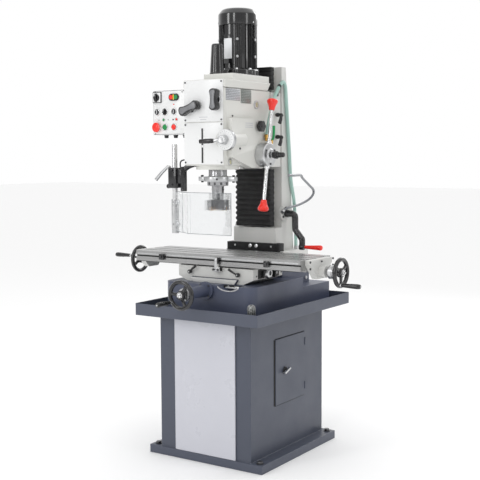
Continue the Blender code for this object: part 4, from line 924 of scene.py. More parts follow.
def spindle():
    """The quill with its depth collar, the spindle nose and the face mill."""
    quill = Piece("quill_sleeve", "quill", "steel", "quill")
    place = spot((0, SPINDLE_Y, 0))
    quill.lathe(place, [(0.0256, 1.4240), (0.0374, 1.4240), (0.0374, 1.1730), (0.0425, 1.1715), (0.0430, 1.1690),
                        (0.0430, 1.1340), (0.0410, 1.1322), (0.0257, 1.1322), (0.0257, 1.4240)], "steel", 64, 0.0006)
    collar = [tuple(around(5 * k, 0.0575)) for k in range(72)]
    quill.prism(place, collar, 1.1500, 1.1705, "satin", 0.0014, 3)
    for side in (-1, 1):
        ear = [(side * 0.0520, -0.0115), (side * 0.0895, -0.0115), (side * 0.0895, 0.0115), (side * 0.0520, 0.0115)]
        quill.prism(place, ear, 1.1515, 1.1690, "satin", 0.0014, 3)
        quill.lathe(place @ Matrix.Translation((side * 0.0780, 0, 1.1690)),
                    [(0.0060, 0), (0.0060, 0.0060), (0.0050, 0.0070), (0, 0.0070)], "black", 28)
        quill.lathe(place @ Matrix.Translation((side * 0.0780, 0, 1.1515)),
                    [(0.0055, 0), (0.0055, -0.0050), (0.0045, -0.0060), (0, -0.0060)], "dark_steel", 28)
    quill.cap_screw(spot((0.0300, SPINDLE_Y - 0.0486, 1.1600), (0.5, -0.85, 0)), 0.0042, "dark_steel")
    for k in range(10):
        turn = place @ Matrix.Rotation(math.radians(36 * k), 4, "Z")
        quill.block((0.0424, -0.0045, 1.1360), (0.0431, 0.0045, 1.1470), "dark_steel", 0.0002, turn)
    quill.done()
    nose = Piece("spindle_nose", "spindle", "steel", "spindle")
    nose.lathe(place, [(0, 1.6395), (0.0140, 1.6395), (0.0154, 1.6380), (0.0154, 1.4280), (0.0249, 1.4275),
                       (0.0249, 1.1080), (0.0235, 1.1005), (0, 1.1005)], "steel", 56, 0.0006)
    for side in (-1, 1):
        key = [(side * 0.0130, -0.0060), (side * 0.0252, -0.0060), (side * 0.0252, 0.0060), (side * 0.0130, 0.0060)]
        nose.prism(place, key, 1.0950, 1.1300, "dark_steel", 0.0010)
        nose.cap_screw(spot((side * 0.0250, SPINDLE_Y, 1.1180), X * side), 0.0034)
    nose.done()
    mill = Piece("cutter", "spindle", "steel", "face_mill")
    mill.lathe(place, [(0, 1.0994), (0.0225, 1.0994), (0.0240, 1.0980), (0.0240, 1.0820), (0.0220, 1.0770),
                       (0.0330, 1.0745), (0.0330, 1.0400), (0.0100, 1.0370), (0.0100, 1.0480), (0, 1.0480)],
               "dark_steel", 56, 0.0008)
    for k in range(4):
        turn = place @ Matrix.Rotation(math.radians(90 * k + 65), 4, "Z")
        rim = [(a, 0.0445) for a in range(-28, 21, 4)] + [(18, 0.0240), (-26, 0.0240)]
        mill.prism(turn, [tuple(around(a, r)) for a, r in rim], 1.0335, 1.0740, "dark_steel", 0.0012)
        seat = turn @ Matrix.Rotation(math.radians(23), 4, "Z")
        mill.block((0.0285, -0.0022, 1.0315), (0.0448, 0.0016, 1.0475), "bronze", 0.0006, seat)
        mill.cap_screw(spot(seat @ Vector((0.0370, 0.0016, 1.0410)),
                            (seat.to_3x3() @ Vector((0, 1, 0)))), 0.0030, "satin", 0.0012)
    mill.done()


def hourglass(length, wide, waist, steps=36):
    """The outline of a waisted knob, its long side along the second axis."""
    outline = []
    for k in range(steps):
        a = 2 * math.pi * k / steps
        along = length * math.copysign(abs(math.cos(a)) ** 0.8, math.cos(a))
        half = waist + (wide - waist) * min(1, abs(along) / length * 1.35) ** 2
        across = half * math.copysign(min(1, abs(math.sin(a)) * 1.5), math.sin(a))
        outline.append((across, along))
    return outline


def speed_knobs():
    for name, body, x, z, angle, size in (("speed_knob_left", "speed_left", -0.052, 1.444, 70, 1.12),
                                          ("speed_knob_right", "speed_right", 0.070, 1.475, 0, 1.0)):
        knob = Piece(name.replace("speed", "gear"), body, "black_plastic", name)
        place = spot((x, HEAD_FRONT - 0.0032, z), FRONT, turn=-angle)
        knob.lathe(place, [(0, 0), (0.0195, 0), (0.0195, 0.0050), (0.0170, 0.0065), (0.0170, 0.0090)], "satin", 44, 0.0008)
        knob.prism(place, hourglass(0.0430 * size, 0.0178 * size, 0.0124 * size), 0.0060, 0.0365, "black", 0.0050, 4)
        # painted highlight: the knob's flat top is painted grey for its glint
        knob.prism(place, hourglass(0.0370 * size, 0.0125 * size, 0.0078 * size), 0.0360, 0.0372, "painted_knob_glint", 0.0006)
        knob.done()




# ---------------------------------------------------------------- switch box and guard
def switch_box():
    """The switch box's cover, its screws, rings, lamps and the parts that don't move."""
    box = Piece("switch_panel", "head", "plate_white")
    place = spot((0, BOX_FRONT, 0), FRONT)
    x0, x1 = BOX_X
    z0, z1 = BOX_Z
    cover = [(x0 + 0.002, z0 + 0.002), (x1 - 0.002, z0 + 0.002), (x1 - 0.002, z1 - 0.002), (x0 + 0.002, z1 - 0.002)]
    box.prism(place, cover, -0.0006, 0.0002, "plate_line", 0.0003)
    inner = [(x * 1.0 + (0.0014 if x < -0.24 else -0.0014), z + (0.0014 if z < 1.44 else -0.0014)) for x, z in cover]
    box.prism(place, inner, -0.0005, 0.0005, "white", 0.0003)
    for x in (x0 + 0.012, x1 - 0.012):
        for z in (z0 + 0.004, z1 - 0.004):
            box.pan_screw(place @ Matrix.Translation((x, z, 0.0004)), 0.0030, "dark_steel")
    for x, z, r, finish in ((-0.2140, 1.4690, 0.0026, "red"), (-0.2940, 1.4055, 0.0018, "ink"),
                            (-0.2680, 1.4060, 0.0052, "green"), (-0.2180, 1.4060, 0.0030, "ink"),
                            (-0.2000, 1.4070, 0.0052, "red"), (-0.2440, 1.4055, 0.0016, "ink"),
                            (-0.1700, 1.5195, 0.0022, "ink")):
        lamp_place = place @ Matrix.Translation((x, z, 0.0004))
        if r > 0.004:
            box.lathe(lamp_place, [(r * 1.35, 0), (r * 1.35, 0.0016), (r, 0.0022)], "satin", 32)
        box.lathe(lamp_place, [(r, 0), (r, 0.0018), (r * 0.7, 0.0034), (0, 0.0040)], finish, 28)
    ring_spots = [(x, 1.439, r) for x, r in ((-0.302, 0.0145), (-0.260, 0.0160), (-0.213, 0.0145))]
    ring_spots += [(-0.302, 1.375, 0.0150), (-0.260, 1.375, 0.0150), (-0.213, 1.375, 0.0150)]
    for x, z, r in ring_spots:
        box.lathe(place @ Matrix.Translation((x, z, 0)), [(r, 0), (r, 0.0030), (r - 0.0018, 0.0048), (r - 0.0030, 0.0048),
                                                         (r - 0.0034, 0.0020)], "chrome", 44, 0.0006)
    for x in (-0.302, -0.213):
        box.lathe(place @ Matrix.Translation((x, 1.439, 0)), [(0.0112, 0.0015), (0.0112, 0.0040), (0.0100, 0.0056),
                                                             (0.0060, 0.0062), (0, 0.0062)], "matt_black", 36, 0.0006)
        box.block((x - 0.0022, 1.4310, 0.0060), (x + 0.0022, 1.4470, 0.0068), "pale_grey_and_rim_highlight", 0.0004, place)
    frame_line = [(-0.3235, 1.4775), (-0.2785, 1.4775), (-0.2785, 1.5225), (-0.3235, 1.5225)]
    box.prism(place, frame_line, 0, 0.0050, "matt_black", 0.0012)
    face = [(-0.3205, 1.4805), (-0.2815, 1.4805), (-0.2815, 1.5195), (-0.3205, 1.5195)]
    box.prism(place, face, 0.0046, 0.0056, "white", 0.0004)
    oval = [tuple(Vector((-0.2130, 1.499)) + Vector((math.copysign(0.0130, around(a).x) + around(a, 0.0135).x,
                                                    around(a, 0.0145).y))) for a in range(3, 360, 6)]
    box.prism(place, oval, 0, 0.0048, "matt_black", 0.0014)
    box.block((-0.2160, 1.4880, 0.0046), (-0.2100, 1.5100, 0.0062), "yellow", 0.0006, place)
    for z in (1.3600, 1.4300, 1.5000):
        box.block((x1 - 0.003, z - 0.0050, -0.0720), (x1 + 0.0012, z + 0.0050, -0.0600), "satin", 0.0006, place)
    for x in (-0.2900, -0.2400, -0.1900):
        gland = spot((x, BOX_FRONT + 0.045, BOX_Z[0]), -Z)
        box.lathe(gland, [(0.0105, 0), (0.0105, 0.0050, 6), (0.0085, 0.0060), (0.0085, 0.0120), (0.0050, 0.0130)],
                  "matt_black", 36)
        box.lathe(gland, [(0.0050, 0.0120), (0, 0.0122)], "matt_black", 24)
    box.done()


def press_button(name, body, x, z, radius, reach, finish, mushroom=False):
    """One push button, resting just off the box's ring."""
    button = Piece(name + "_cap", body, finish + "_plastic", name)
    place = spot((x, BOX_FRONT - 0.0003, z), FRONT)
    if mushroom:
        button.lathe(place, [(0, 0.0010), (0.0085, 0.0010), (0.0085, 0.0070), (0.0190, 0.0085), (0.0205, 0.0105),
                             (0.0200, 0.0130), (0.0120, 0.0139), (0, 0.0139)], finish, 48, 0.0018)
        button.lathe(place, [(0.0110, 0.0136), (0.0100, 0.0140), (0, 0.0140)], finish, 40)
    else:
        button.lathe(place, [(0, 0.0010), (radius, 0.0010), (radius, reach - 0.0010), (radius - 0.0014, reach),
                             (0, reach - 0.0003)], finish, 44, 0.0008)
    button.done()


def controls():
    press_button("e_stop", "e_stop", -0.302, 1.375, 0.0205, 0.014, "red", True)
    press_button("green_button", "green_button", -0.260, 1.375, 0.0112, 0.0075, "green")
    press_button("red_button", "red_button", -0.213, 1.375, 0.0112, 0.0075, "red")
    press_button("start_button", "start_button", -0.2005, 1.499, 0.0098, 0.0082, "green")
    press_button("stop_button", "stop_button", -0.2255, 1.499, 0.0098, 0.0082, "red")
    switch = Piece("rotary_switch", "main_switch", "black_plastic", "main_switch")
    place = spot((-0.302, BOX_FRONT - 0.0003, 1.499), FRONT)
    switch.lathe(place, [(0, 0.0058), (0.0150, 0.0058), (0.0150, 0.0085), (0.0135, 0.0098), (0, 0.0098)], "black", 40, 0.0006)
    switch.block((-0.0048, -0.0175, 0.0060), (0.0048, 0.0175, 0.0172), "black", 0.0020, place, 3)
    switch.block((-0.0007, 0.0060, 0.0168), (0.0007, 0.0165, 0.0175), "white", 0, place)
    switch.done()
    selector = Piece("selector", "mode_selector", "black_plastic", "mode_selector")
    place = spot((-0.260, BOX_FRONT - 0.0003, 1.439), FRONT)
    selector.lathe(place, [(0, 0.0012), (0.0125, 0.0012), (0.0125, 0.0048), (0.0110, 0.0062), (0, 0.0062)], "black", 36, 0.0006)
    selector.block((-0.0038, -0.0118, 0.0055), (0.0038, 0.0118, 0.0138), "black", 0.0016, place, 3)
    selector.block((-0.0006, 0.0040, 0.0135), (0.0006, 0.0110, 0.0141), "white", 0, place)
    selector.done()


def guard():
    """The swing guard: a bright post through its clamp, a sleeve below and the clear shield."""
    x, y = GUARD_POST
    bracket = Piece("guard_clamp", "head", "black_iron", "guard_bracket")
    bracket.block((x - 0.0220, y - 0.0200, 1.1205), (x + 0.0200, y + 0.0200, 1.2055), "black_enamel", 0.0035, segments=3)
    bracket.block((x + 0.0195, y - 0.0130, 1.1400), (x + 0.0420, y + 0.0130, 1.2000), "black_enamel", 0.0030, segments=3)
    strip = [(-0.0130, -0.0500), (0.0130, -0.0500), (0.0130, 0.0480), (0.0100, 0.0520), (-0.0100, 0.0520), (-0.0130, 0.0480)]
    bracket.prism(spot((x + 0.0470, y - 0.0040, 1.1580), X + FRONT * 0.7), strip, 0, 0.0100, "black_enamel", 0.0025, 3)
    arm = flowing([(x + 0.0520, y, 1.2000), (x + 0.0700, y + 0.0050, 1.2120), (-0.1100, y + 0.0080, 1.2200),
                   (-0.0975, y + 0.0080, 1.2240)], 8)
    bracket.tube(arm, 0.0115, "black_enamel", 20)
    bracket.lathe(spot((-0.0985, y + 0.0080, 1.2240), -X), [(0.0150, 0), (0.0150, 0.0080), (0.0115, 0.0100), (0, 0.0100)],
                  "black_enamel", 32, 0.0012)
    lever_root = Vector((x - 0.0130, y - 0.0210, 1.2080))
    bracket.lathe(spot(lever_root, (-0.3, -1, 0.2)), [(0.0075, -0.004), (0.0075, 0.0100), (0.0060, 0.0115), (0, 0.0115)],
                  "chrome", 28, 0.0008)
    tip = Vector((x - 0.0760, y - 0.0300, 1.1560))
    bracket.tube(flowing([lever_root + Vector((0, -0.006, 0.004)), (lever_root + tip) / 2 + Vector((0, -0.004, 0.004)), tip], 8),
                 lambda t: 0.0058 + 0.0022 * t, "satin", 20)
    bracket.lathe(spot((x - 0.0215, y, 1.1280), -X), [(0.0050, 0), (0.0050, 0.0060), (0.0095, 0.0075), (0.0095, 0.0160),
                                                (0.0080, 0.0180), (0, 0.0182)], "black", 32, 0.0012)
    for z in (1.1350, 1.1950):
        bracket.cap_screw(spot((x, y - 0.0200, z), FRONT), 0.0036)
    cable = flowing([(x + 0.0230, y + 0.0100, 1.1950), (x + 0.0200, y + 0.0130, 1.2280), (x + 0.0400, y + 0.0150, 1.2380),
                     (x + 0.0750, y + 0.0300, 1.2360), (-0.1050, -0.1500, 1.2500), (-0.1060, -0.1000, 1.3000),
                     (-0.1400, -0.1100, 1.3420)], 8)
    bracket.tube(cable, 0.0030, "matt_black", 10)
    bracket.done()
    post = Piece("guard_screen", "guard", "shield", "guard_post")
    post.lathe(spot((x, y, 0)), [(0, 0.9365), (0.0105, 0.9365), (0.0117, 0.9380), (0.0117, 1.3010), (0.0105, 1.3028),
                                 (0, 1.3028)], "chrome", 36, 0.0005)
    post.lathe(spot((x, y, 0)), [(0.0110, 0.9315), (0.0140, 0.9315), (0.0145, 0.9335), (0.0145, 0.9540), (0.0158, 0.9550),
                                 (0.0158, 1.0720), (0.0148, 1.0740), (0.0110, 1.0745)], "satin", 40, 0.0008)
    for z in (0.9700, 1.0620):
        post.cap_screw(spot((x, y - 0.0148, z), FRONT), 0.0038, "satin")
        post.block((x + 0.0080, y - 0.0120, z - 0.0080), (x + 0.0300, y - 0.0070, z + 0.0080), "satin", 0.0010)
    fold = [Vector((x + 0.0100, y - 0.0080, 0)), Vector((-0.1460, -0.2490, 0)), Vector((-0.1300, -0.2595, 0)),
            Vector((-0.0750, -0.2985, 0)), Vector((-0.0600, -0.2998, 0)), Vector((0.1400, -0.2998, 0))]
    for start, end in zip(fold, fold[1:]):
        ahead = (end - start).normalized()
        away = Vector((ahead.y, -ahead.x, 0)) * 0.0013
        outline = [start + away, end + away, end - away, start - away]
        post.prism(Matrix(), [(p.x, p.y) for p in outline], 0.9410, 1.1070, "shield", 0)
    for z in (0.9410, 1.1070):
        post.tube([p + Z * z for p in fold], 0.0011, "edge_clear", 8)
    post.tube([fold[-1] + Z * 0.9410, fold[-1] + Z * 1.1070], 0.0011, "edge_clear", 8)
    post.tube([fold[2] + Z * 0.9410, fold[2] + Z * 1.1070], 0.0008, "edge_clear", 8)
    post.done()


# ---------------------------------------------------------------- column, bellows and coolant
def pleated(name, low, high, half, front, back, pleats, depth):
    """A three-sided bellows: pleats run round the front and both sides, between two thin end frames."""
    cover = Piece(name, None, "bellows", name)
    rings = []
    steps = 6
    count = pleats * steps
    for k in range(count + 1):
        t = k / count
        wave = 0.5 - 0.5 * math.cos(2 * math.pi * pleats * t)
        wave = wave ** 0.7
        y0 = front + depth * (1 - wave)
        x0 = half - depth * 0.3 * (1 - wave)
        z = low + (high - low) * t
        corner = 0.006
        outer = [(-x0, back), (-x0, y0 + corner), (-x0 + corner * 0.3, y0 + corner * 0.3), (-x0 + corner, y0),
                 (x0 - corner, y0), (x0 - corner * 0.3, y0 + corner * 0.3), (x0, y0 + corner), (x0, back)]
        wall = 0.0018
        inner = [(x0 - wall, back), (x0 - wall, y0 + corner), (x0 - corner, y0 + wall), (-x0 + corner, y0 + wall),
                 (-x0 + wall, y0 + corner), (-x0 + wall, back)]
        rings.append([cover.mesh.verts.new((x, y, z)) for x, y in outer + inner])
    faces = cover.skin(rings, "bellows")
    cover.paint([cover.mesh.faces.new(rings[0]), cover.mesh.faces.new(rings[-1])], "bellows")
    for z in (low, high - 0.004):
        cover.block((-half, front, z), (half, front + 0.0040, z + 0.004), "matt_black", 0.0006)
        for side in (-1, 1):
            cover.block((min(side * half, side * (half - 0.004)), front, z),
                        (max(side * half, side * (half - 0.004)), back, z + 0.004), "matt_black", 0.0006)
    obj = cover.done(creases=55)
    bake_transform(obj)
    return obj


def column_details():
    apron = Piece("column_apron", "stand", "black_plastic")
    half, top = 0.1315, 0.8785
    apron.block((-half, 0.0676, 0.8395), (half, 0.0705, top), "rubber_and_painted_shade", 0.0016)
    apron.block((-half, 0.0678, top - 0.0025), (half, 0.1120, top + 0.0005), "rubber_and_painted_shade", 0.0012)
    for side in (-1, 1):
        low_x, high_x = sorted((side * (half - 0.0007), side * (half + 0.0013)))
        apron.block((low_x, 0.0690, 0.8400), (high_x, 0.1120, top), "rubber_and_painted_shade", 0.0006)
    for x in (-0.0110, 0.0200):
        apron.lathe(spot((x, 0.0676, 0.8650), FRONT), [(0.0084, 0), (0.0084, 0.0008), (0.0070, 0.0015), (0.0045, 0.0016, 6),
                                               (0.0040, 0.0008, 6), (0, 0.0008)], "chrome", 36)
    for x in (-0.0900, 0.0950):
        apron.cap_screw(spot((x, 0.0676, 0.8650), FRONT), 0.0042, "satin", 0.0014)
    apron.done()
    trim = Piece("column_fittings", "stand", "steel")
    flange = spot((0.1190, CRANK_AXIS.y, CRANK_AXIS.z), X)
    for k in range(3):
        trim.cap_screw(flange @ Matrix.Rotation(math.radians(90 + 120 * k), 4, "Z") @ Matrix.Translation((0.0260, 0, 0)),
                       0.0046, "dark_steel", 0.0045)
    for y, z in ((0.0960, 0.8330), (0.2700, 0.8330), (0.2700, 0.7550)):
        for side in (-1, 1):
            trim.hex_bolt(spot((side * 0.1472, y, z - 0.04), X * side), 0.0085)
    for z in (0.9400, 1.2500, 1.5900):
        for side in (-1, 1):
            trim.pan_screw(spot((side * 0.0600, back_of_column(z), z), Y), 0.0044)
    trim.done()


def back_of_column(z):
    """The column's back face leans: where it lies at a height."""
    return 0.2360 - (0.2360 - 0.1700) * (z - 0.820) / (1.630 - 0.820)


def clamp_lever(name, body, at, out, angle, reach, node, stem=0.0100, thick=0.0046):
    """A short black lever on its stud, bent a little away from the casting."""
    lever = Piece(name, body, "black_plastic", node)
    place = spot(at, out)
    lever.lathe(place, [(0.0050, 0), (0.0050, 0.0040), (0.0088, 0.0044), (0.0088, 0.0140), (0.0076, 0.0158), (0, 0.0160)],
                "black", 32, 0.0010)
    if stem < 0.0160:
        lever.lathe(place, [(0.0036, 0.0158, 6), (0.0034, 0.0178, 6), (0, 0.0182)], "satin", 36)
    ahead = place.to_3x3() @ Vector((*around(angle), 0))
    w = place.to_3x3() @ Z
    at = Vector(at)
    knots = [at + w * 0.0090, at + w * (stem - 0.0006)] if stem > 0.0160 else [at + w * 0.0090]
    knots += [at + ahead * 0.0120 + w * stem, at + ahead * (reach * 0.55) + w * (stem + 0.0025),
              at + ahead * reach + w * (stem + 0.0035)]
    lever.tube(flowing(knots, 7), lambda t: thick + 0.0020 * t * t, "black", 18)
    return lever.done()


def coolant():
    """The coolant hose from the column's back over to the head, its valve, and the jointed nozzle."""
    x = 0.1175
    hose = Piece("coolant_line", None, "hose", "coolant_hose")
    line = flowing([(x, 0.240, 0.846), (x, 0.236, 0.950), (x, 0.222, 1.059), (x, 0.196, 1.148), (x, 0.182, 1.278),
                    (x, 0.165, 1.428), (x, 0.157, 1.500), (x, 0.150, 1.548), (x, 0.132, 1.566), (x, 0.100, 1.546)], 10)
    hose.tube(line, 0.0074, "hose", 24)
    hose.lathe(spot(line[0], -Z), [(0.0066, -0.012), (0.0084, -0.012), (0.0084, 0), (0.0060, 0.001)], "satin", 28, 0.0005)
    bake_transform(hose.done())
    tail = Piece("coolant_tail", None, "hose")
    line = flowing([(x, 0.100, 1.546), (0.1195, 0.066, 1.508), (0.1245, 0.028, 1.450), (0.1290, -0.005, 1.385),
                    (0.1300, -0.021, 1.335)], 12)
    tail.tube(line, 0.0074, "hose", 24)
    for k in (0, 24):
        ahead = line[k + 1] - line[max(k - 1, 0)]
        tail.lathe(spot(line[k], ahead), [(0.0074, -0.005), (0.0088, -0.005), (0.0088, 0.005), (0.0074, 0.005)],
                   "matt_black", 28, 0.0004)
    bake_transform(tail.done())
    clip = Piece("hose_clip", "carriage", "black_plastic")
    clip.block((0.1040, 0.0900, 1.5050), (0.1100, 0.1080, 1.5190), "matt_black", 0.0010)
    clip.tube(flowing([(0.1070, 0.100, 1.515), (0.1080, 0.101, 1.535), (x, 0.101, 1.5545), (0.1255, 0.101, 1.548)], 8),
              0.0020, "matt_black", 10)
    clip.done()
    valve = Piece("coolant_valve", "head", "steel")
    valve.lathe(spot((0.1300, -0.021, 1.3400), -Z), [(0.0060, -0.002), (0.0095, 0, 6), (0.0095, 0.0120, 6), (0.0075, 0.0130),
                                                     (0.0075, 0.0250), (0, 0.0250)], "copper", 36)
    valve.tube([(0.1300, -0.020, 1.3200), (0.1300, 0.002, 1.3150), (0.1290, 0.020, 1.3120)], 0.0050, "copper", 16)
    valve.lathe(spot((0.1290, 0.018, 1.3040)), [(0, 0), (0.0080, 0, 6), (0.0080, 0.0140, 6), (0, 0.0140)], "copper", 36)
    valve.tube(flowing([(0.1300, 0.018, 1.3160), (0.1370, 0.019, 1.3250), (0.1385, 0.022, 1.3500), (0.1370, 0.025, 1.3780)],
                       8), lambda t: 0.0042 + 0.0020 * t, "valve_green", 16, squash=0.6)
    valve.done()
    nozzle = Piece("coolant_arm", "stand", "nozzle", "coolant_nozzle")
    route = flowing([(0.1270, 0.112, 1.014), (0.1310, 0.150, 1.029), (0.1340, 0.235, 1.038), (0.1360, 0.314, 1.056),
                     (0.1400, 0.350, 1.077), (0.1460, 0.345, 1.100), (0.1560, 0.290, 1.123), (0.1720, 0.205, 1.155),
                     (0.1960, 0.145, 1.170), (0.2320, 0.030, 1.172), (0.2430, -0.030, 1.174)], 14)
    ridges = (len(route) - 1) / 2
    nozzle.tube(route, lambda t: 0.0053 + 0.0004 * math.cos(2 * math.pi * ridges * t), "flex_steel", 20)
    nozzle.lathe(spot(route[0], route[1] - route[0]), [(0.0080, -0.004, 6), (0.0080, 0.0080, 6), (0.0064, 0.0100)],
                 "satin", 36)
    nozzle.done()




# ---------------------------------------------------------------- table, saddle, base and stand
def table_details():
    """The table's stops, their groove scale, end bolts and the saddle's stop bracket."""
    for name, body, node, x in (("stop_dog_left", "stop_left", "table_stop_left", STOPS[0]),
                                ("stop_dog_right", "stop_right", "table_stop_right", STOPS[1])):
        dog = Piece(name, body, "black_iron", node)
        dog.block((x - 0.0120, -0.2350, 0.8165), (x + 0.0120, -0.2236, 0.8405), "black_enamel", 0.0020, segments=3)
        dog.cap_screw(spot((x, -0.2350, 0.8285), FRONT), 0.0058, "dark_steel", 0.0050)
        dog.done()
    ends = Piece("table_bolts", "table", "steel")
    for side in (-1, 1):
        for y in (-0.195, -0.145, -0.061, -0.011):
            for z in (0.8420, 0.8160):
                if y in (-0.195, -0.011):
                    ends.cap_screw(spot((side * 0.4362, y, z), X * side), 0.0046, "dark_steel", 0.0035)
        ends.cap_screw(spot((side * 0.4362, -0.103, 0.8380), X * side), 0.0040, "dark_steel", 0.0030)
    ends.block((-0.4000, -0.2234, 0.8345), (0.4000, -0.2230, 0.8400), "satin", 0)
    for k in range(157):
        reach = 0.0042 if k % 10 == 0 else (0.0032 if k % 5 == 0 else 0.0020)
        x = -0.390 + k * 0.005
        ends.block((x - 0.0003, -0.22365, 0.8350), (x + 0.0003, -0.2233, 0.8350 + reach), "ink", 0)
    # painted shade: thin black sheets under the table, in front of and behind the saddle, stand for the shade beneath
    # it
    ends.block((-0.4000, -0.2200, 0.8040), (0.4000, -0.1820, 0.8060), "rubber_and_painted_shade", 0.0006)
    ends.block((-0.4000, -0.0240, 0.8040), (0.4000, 0.0140, 0.8060), "rubber_and_painted_shade", 0.0006)
    # painted shade: a near-black strip along the table's front groove stands for the shade in it
    ends.block((-0.4095, -0.2180, 0.8257), (0.4095, -0.2171, 0.8313), "painted_shade", 0)
    ends.done()
    bracket = Piece("stop_bracket", "saddle", "cast_steel")
    bracket.block((0.0030, -0.2370, 0.7840), (0.0380, -0.2160, 0.8020), "satin", 0.0020, segments=3)
    bracket.block((0.0110, -0.2370, 0.7980), (0.0250, -0.2245, 0.8405), "satin", 0.0030, segments=3)
    bracket.block((0.0260, -0.2370, 0.8160), (0.0300, -0.2245, 0.8410), "matt_black", 0.0010)
    for x in (0.0095, 0.0315):
        bracket.cap_screw(spot((x, -0.2370, 0.7930), FRONT), 0.0046)
    bracket.pan_screw(spot((0.0180, -0.2370, 0.8300), FRONT), 0.0034)
    bracket.done()
    side = Piece("saddle_fittings", "saddle", "cast_steel")
    housing = spot((SADDLE_SIDE, -0.103, 0.776), X)
    # painted shade: a near-black panel on the saddle's side stands for the shade round the screw housing
    side.block((SADDLE_SIDE - 0.0004, -0.1780, 0.7580), (SADDLE_SIDE + 0.0010, -0.0180, 0.7960), "painted_shade", 0)
    side.lathe(housing, [(0.0230, 0), (0.0230, 0.0060), (0.0200, 0.0100), (0.0150, 0.0120), (0.0100, 0.0120)], "satin", 44, 0.001)
    side.lathe(housing, [(0.0100, 0.0118), (0.0100, 0.0090), (0, 0.0090)], "dark_steel", 32)
    side.block((SADDLE_SIDE, -0.1500, 0.7600), (SADDLE_SIDE + 0.0100, -0.1320, 0.7880), "matt_black", 0.0020)
    side.block((SADDLE_SIDE, -0.0650, 0.7560), (SADDLE_SIDE + 0.0120, -0.0450, 0.7920), "matt_black", 0.0020)
    for y in (-0.1410, -0.0550):
        side.cap_screw(spot((SADDLE_SIDE + 0.0105, y, 0.7740), X), 0.0050, "satin", 0.004)
    for y in (-0.19, -0.16, 0.000, 0.030):
        side.cap_screw(spot((SADDLE_SIDE, y, 0.7700), X), 0.0034, "dark_steel", 0.002)
    side.done()
    clamp_lever("saddle_clamp_left", "saddle_lock_left", (-0.122, -0.2145, 0.775), FRONT, 35, 0.044, "saddle_lock_left",
                0.0155, 0.0034)
    clamp_lever("saddle_clamp_right", "saddle_lock_right", (0.118, -0.2145, 0.775), FRONT, 150, 0.044, "saddle_lock_right",
                0.0155, 0.0034)
    clamp_lever("column_clamp_upper", "column_lock_upper", (0.1055, 0.092, 1.426), X, 236, 0.042, "column_lock_upper",
                0.0300, 0.0062)
    clamp_lever("column_clamp_lower", "column_lock_lower", (0.1055, 0.092, 1.333), X, 236, 0.042, "column_lock_lower",
                0.0300, 0.0062)


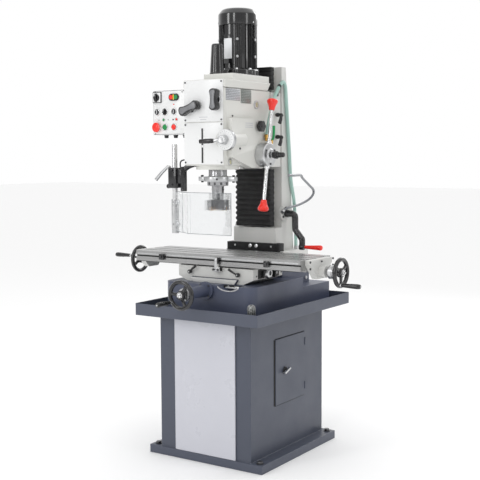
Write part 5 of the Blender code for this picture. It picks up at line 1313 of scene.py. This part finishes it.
def base_details():
    pocket = Piece("pocket_lock", "stand", "steel")
    centre = Vector((0.1060, -0.2758, 0.7395))
    # painted highlight: the pale tube round the pocket's mouth stands for light on its rounded rim. painted shade: the
    # near-black block inside the pocket stands for the shade in it
    rim = [centre + Vector((0.0550 * around(a).x, 0, 0.0250 * around(a).y)) for a in range(202, 342, 9)]
    pocket.tube(rim, 0.0024, "pale_grey_and_rim_highlight", 12)
    pocket.block((0.0600, -0.2400, 0.7190), (0.1520, -0.2320, 0.7340), "painted_shade", 0.0020)
    pocket.lathe(spot((0.1280, -0.2400, 0.7225), FRONT), [(0.0110, 0), (0.0110, 0.0120), (0.0080, 0.0160), (0, 0.0160)],
                 "satin", 36, 0.001)
    pocket.tube(flowing([(0.0800, -0.2520, 0.7250), (0.1000, -0.2560, 0.7255), (0.1280, -0.2570, 0.7270),
                         (0.1480, -0.2550, 0.7290)], 8), 0.0042, "satin", 16)
    for x in (0.0850, 0.1470):
        pocket.cap_screw(spot((x, -0.2400, 0.7260), FRONT), 0.0050, "satin", 0.004)
    pocket.done()
    ways = Piece("way_wiper", "stand", "cast_steel")
    ways.prism(spot((0, -0.2263, 0), FRONT), [(-0.1024, 0.7353), (0.1024, 0.7353), (0.1165, 0.7540), (-0.1165, 0.7540)],
               0, 0.0012, "saddle", 0.0004)
    ways.done()
    bracket = Piece("screw_bracket_bolts", "stand", "steel")
    for k in range(4):
        out = around(45 + 90 * k, 0.0305)
        bracket.cap_screw(spot((out.x, -0.2902, Y_AXIS.z + out.y), FRONT), 0.0036, "dark_steel", 0.003)
    bracket.done()
    strainer = Piece("tray_strainer", "stand", "steel")
    place = spot((0.2400, -0.3100, 0.6022))
    strainer.lathe(place, [(0.0190, -0.0002), (0.0190, 0.0040), (0.0165, 0.0060), (0.0160, 0.0080)], "satin", 44, 0.0008)
    strainer.lathe(place, [(0.0155, 0.0060), (0.0155, 0.0570), (0.0130, 0.0670), (0.0070, 0.0720), (0, 0.0730)], "mesh_steel",
                   44, 0.003)
    for k in range(12):
        turn = place @ Matrix.Rotation(math.radians(30 * k), 4, "Z")
        strainer.tube([turn @ Vector(p) for p in ((0.0157, 0, 0.0060), (0.0157, 0, 0.0570), (0.0132, 0, 0.0673),
                                                  (0.0070, 0, 0.0725), (0, 0, 0.0735))], 0.0008, "satin", 6)
    strainer.done()
    feet = Piece("foot_bolts", "stand", "steel")
    for x in (-0.256, 0.256):
        for y in (-0.275, 0.275):
            feet.hex_bolt(spot((x, y, 0.0352)), 0.0120, "dark_steel")
    feet.done()


def stand_details():
    lock = Piece("wing_lock", "door_lock", "chrome", "door_lock")
    place = spot((0.2297, -0.041, 0.366), X, turn=20)
    lock.lathe(place, [(0.0148, 0), (0.0148, 0.0020), (0.0128, 0.0036), (0.0070, 0.0040), (0.0065, 0.0100), (0.0055, 0.0112),
                       (0, 0.0114)], "matt_black", 40, 0.0006)
    lock.block((-0.0235, -0.0042, 0.0040), (0.0235, 0.0042, 0.0180), "satin", 0.0018, place, 3)
    lock.done()
    trim = Piece("door_gap_shade_and_hinges", "stand", "black_plastic")
    y0, y1, z0, z1 = -0.112, 0.123, 0.228, 0.503
    ring = [((y0 - 0.0030, z0 - 0.0030), (y1 + 0.0030, z0 + 0.0002)), ((y0 - 0.0030, z1 - 0.0002), (y1 + 0.0030, z1 + 0.0030)),
            ((y0 - 0.0100, z0), (y0 + 0.0002, z1))]
    # painted shade: thin dark strips along the door's top, bottom and front edges stand for the shade in its gaps
    for (ya, za), (yb, zb) in ring:
        trim.block((0.2248, ya, za), (0.2256, yb, zb), "rubber_and_painted_shade", 0.0002)
    for z in (0.2700, 0.4610):
        trim.lathe(spot((0.2292, 0.1262, z - 0.016)), [(0, 0), (0.0030, 0), (0.0030, 0.0320), (0, 0.0320)], "stand", 20, 0.0006)
    trim.done()




look()
studio()
dress_nodes()
wheels()
column_crank()
motor()
front_plates()
head_side()
feed()
fine_feed()
spindle()
speed_knobs()
switch_box()
controls()
guard()
pleated("bellows_lower", 0.950, 1.196, 0.089, 0.0670, 0.1060, 11, 0.0080)
pleated("bellows_upper", 1.532, 1.628, 0.088, 0.0790, 0.1060, 5, 0.0060)
column_details()
coolant()
table_details()
base_details()
stand_details()
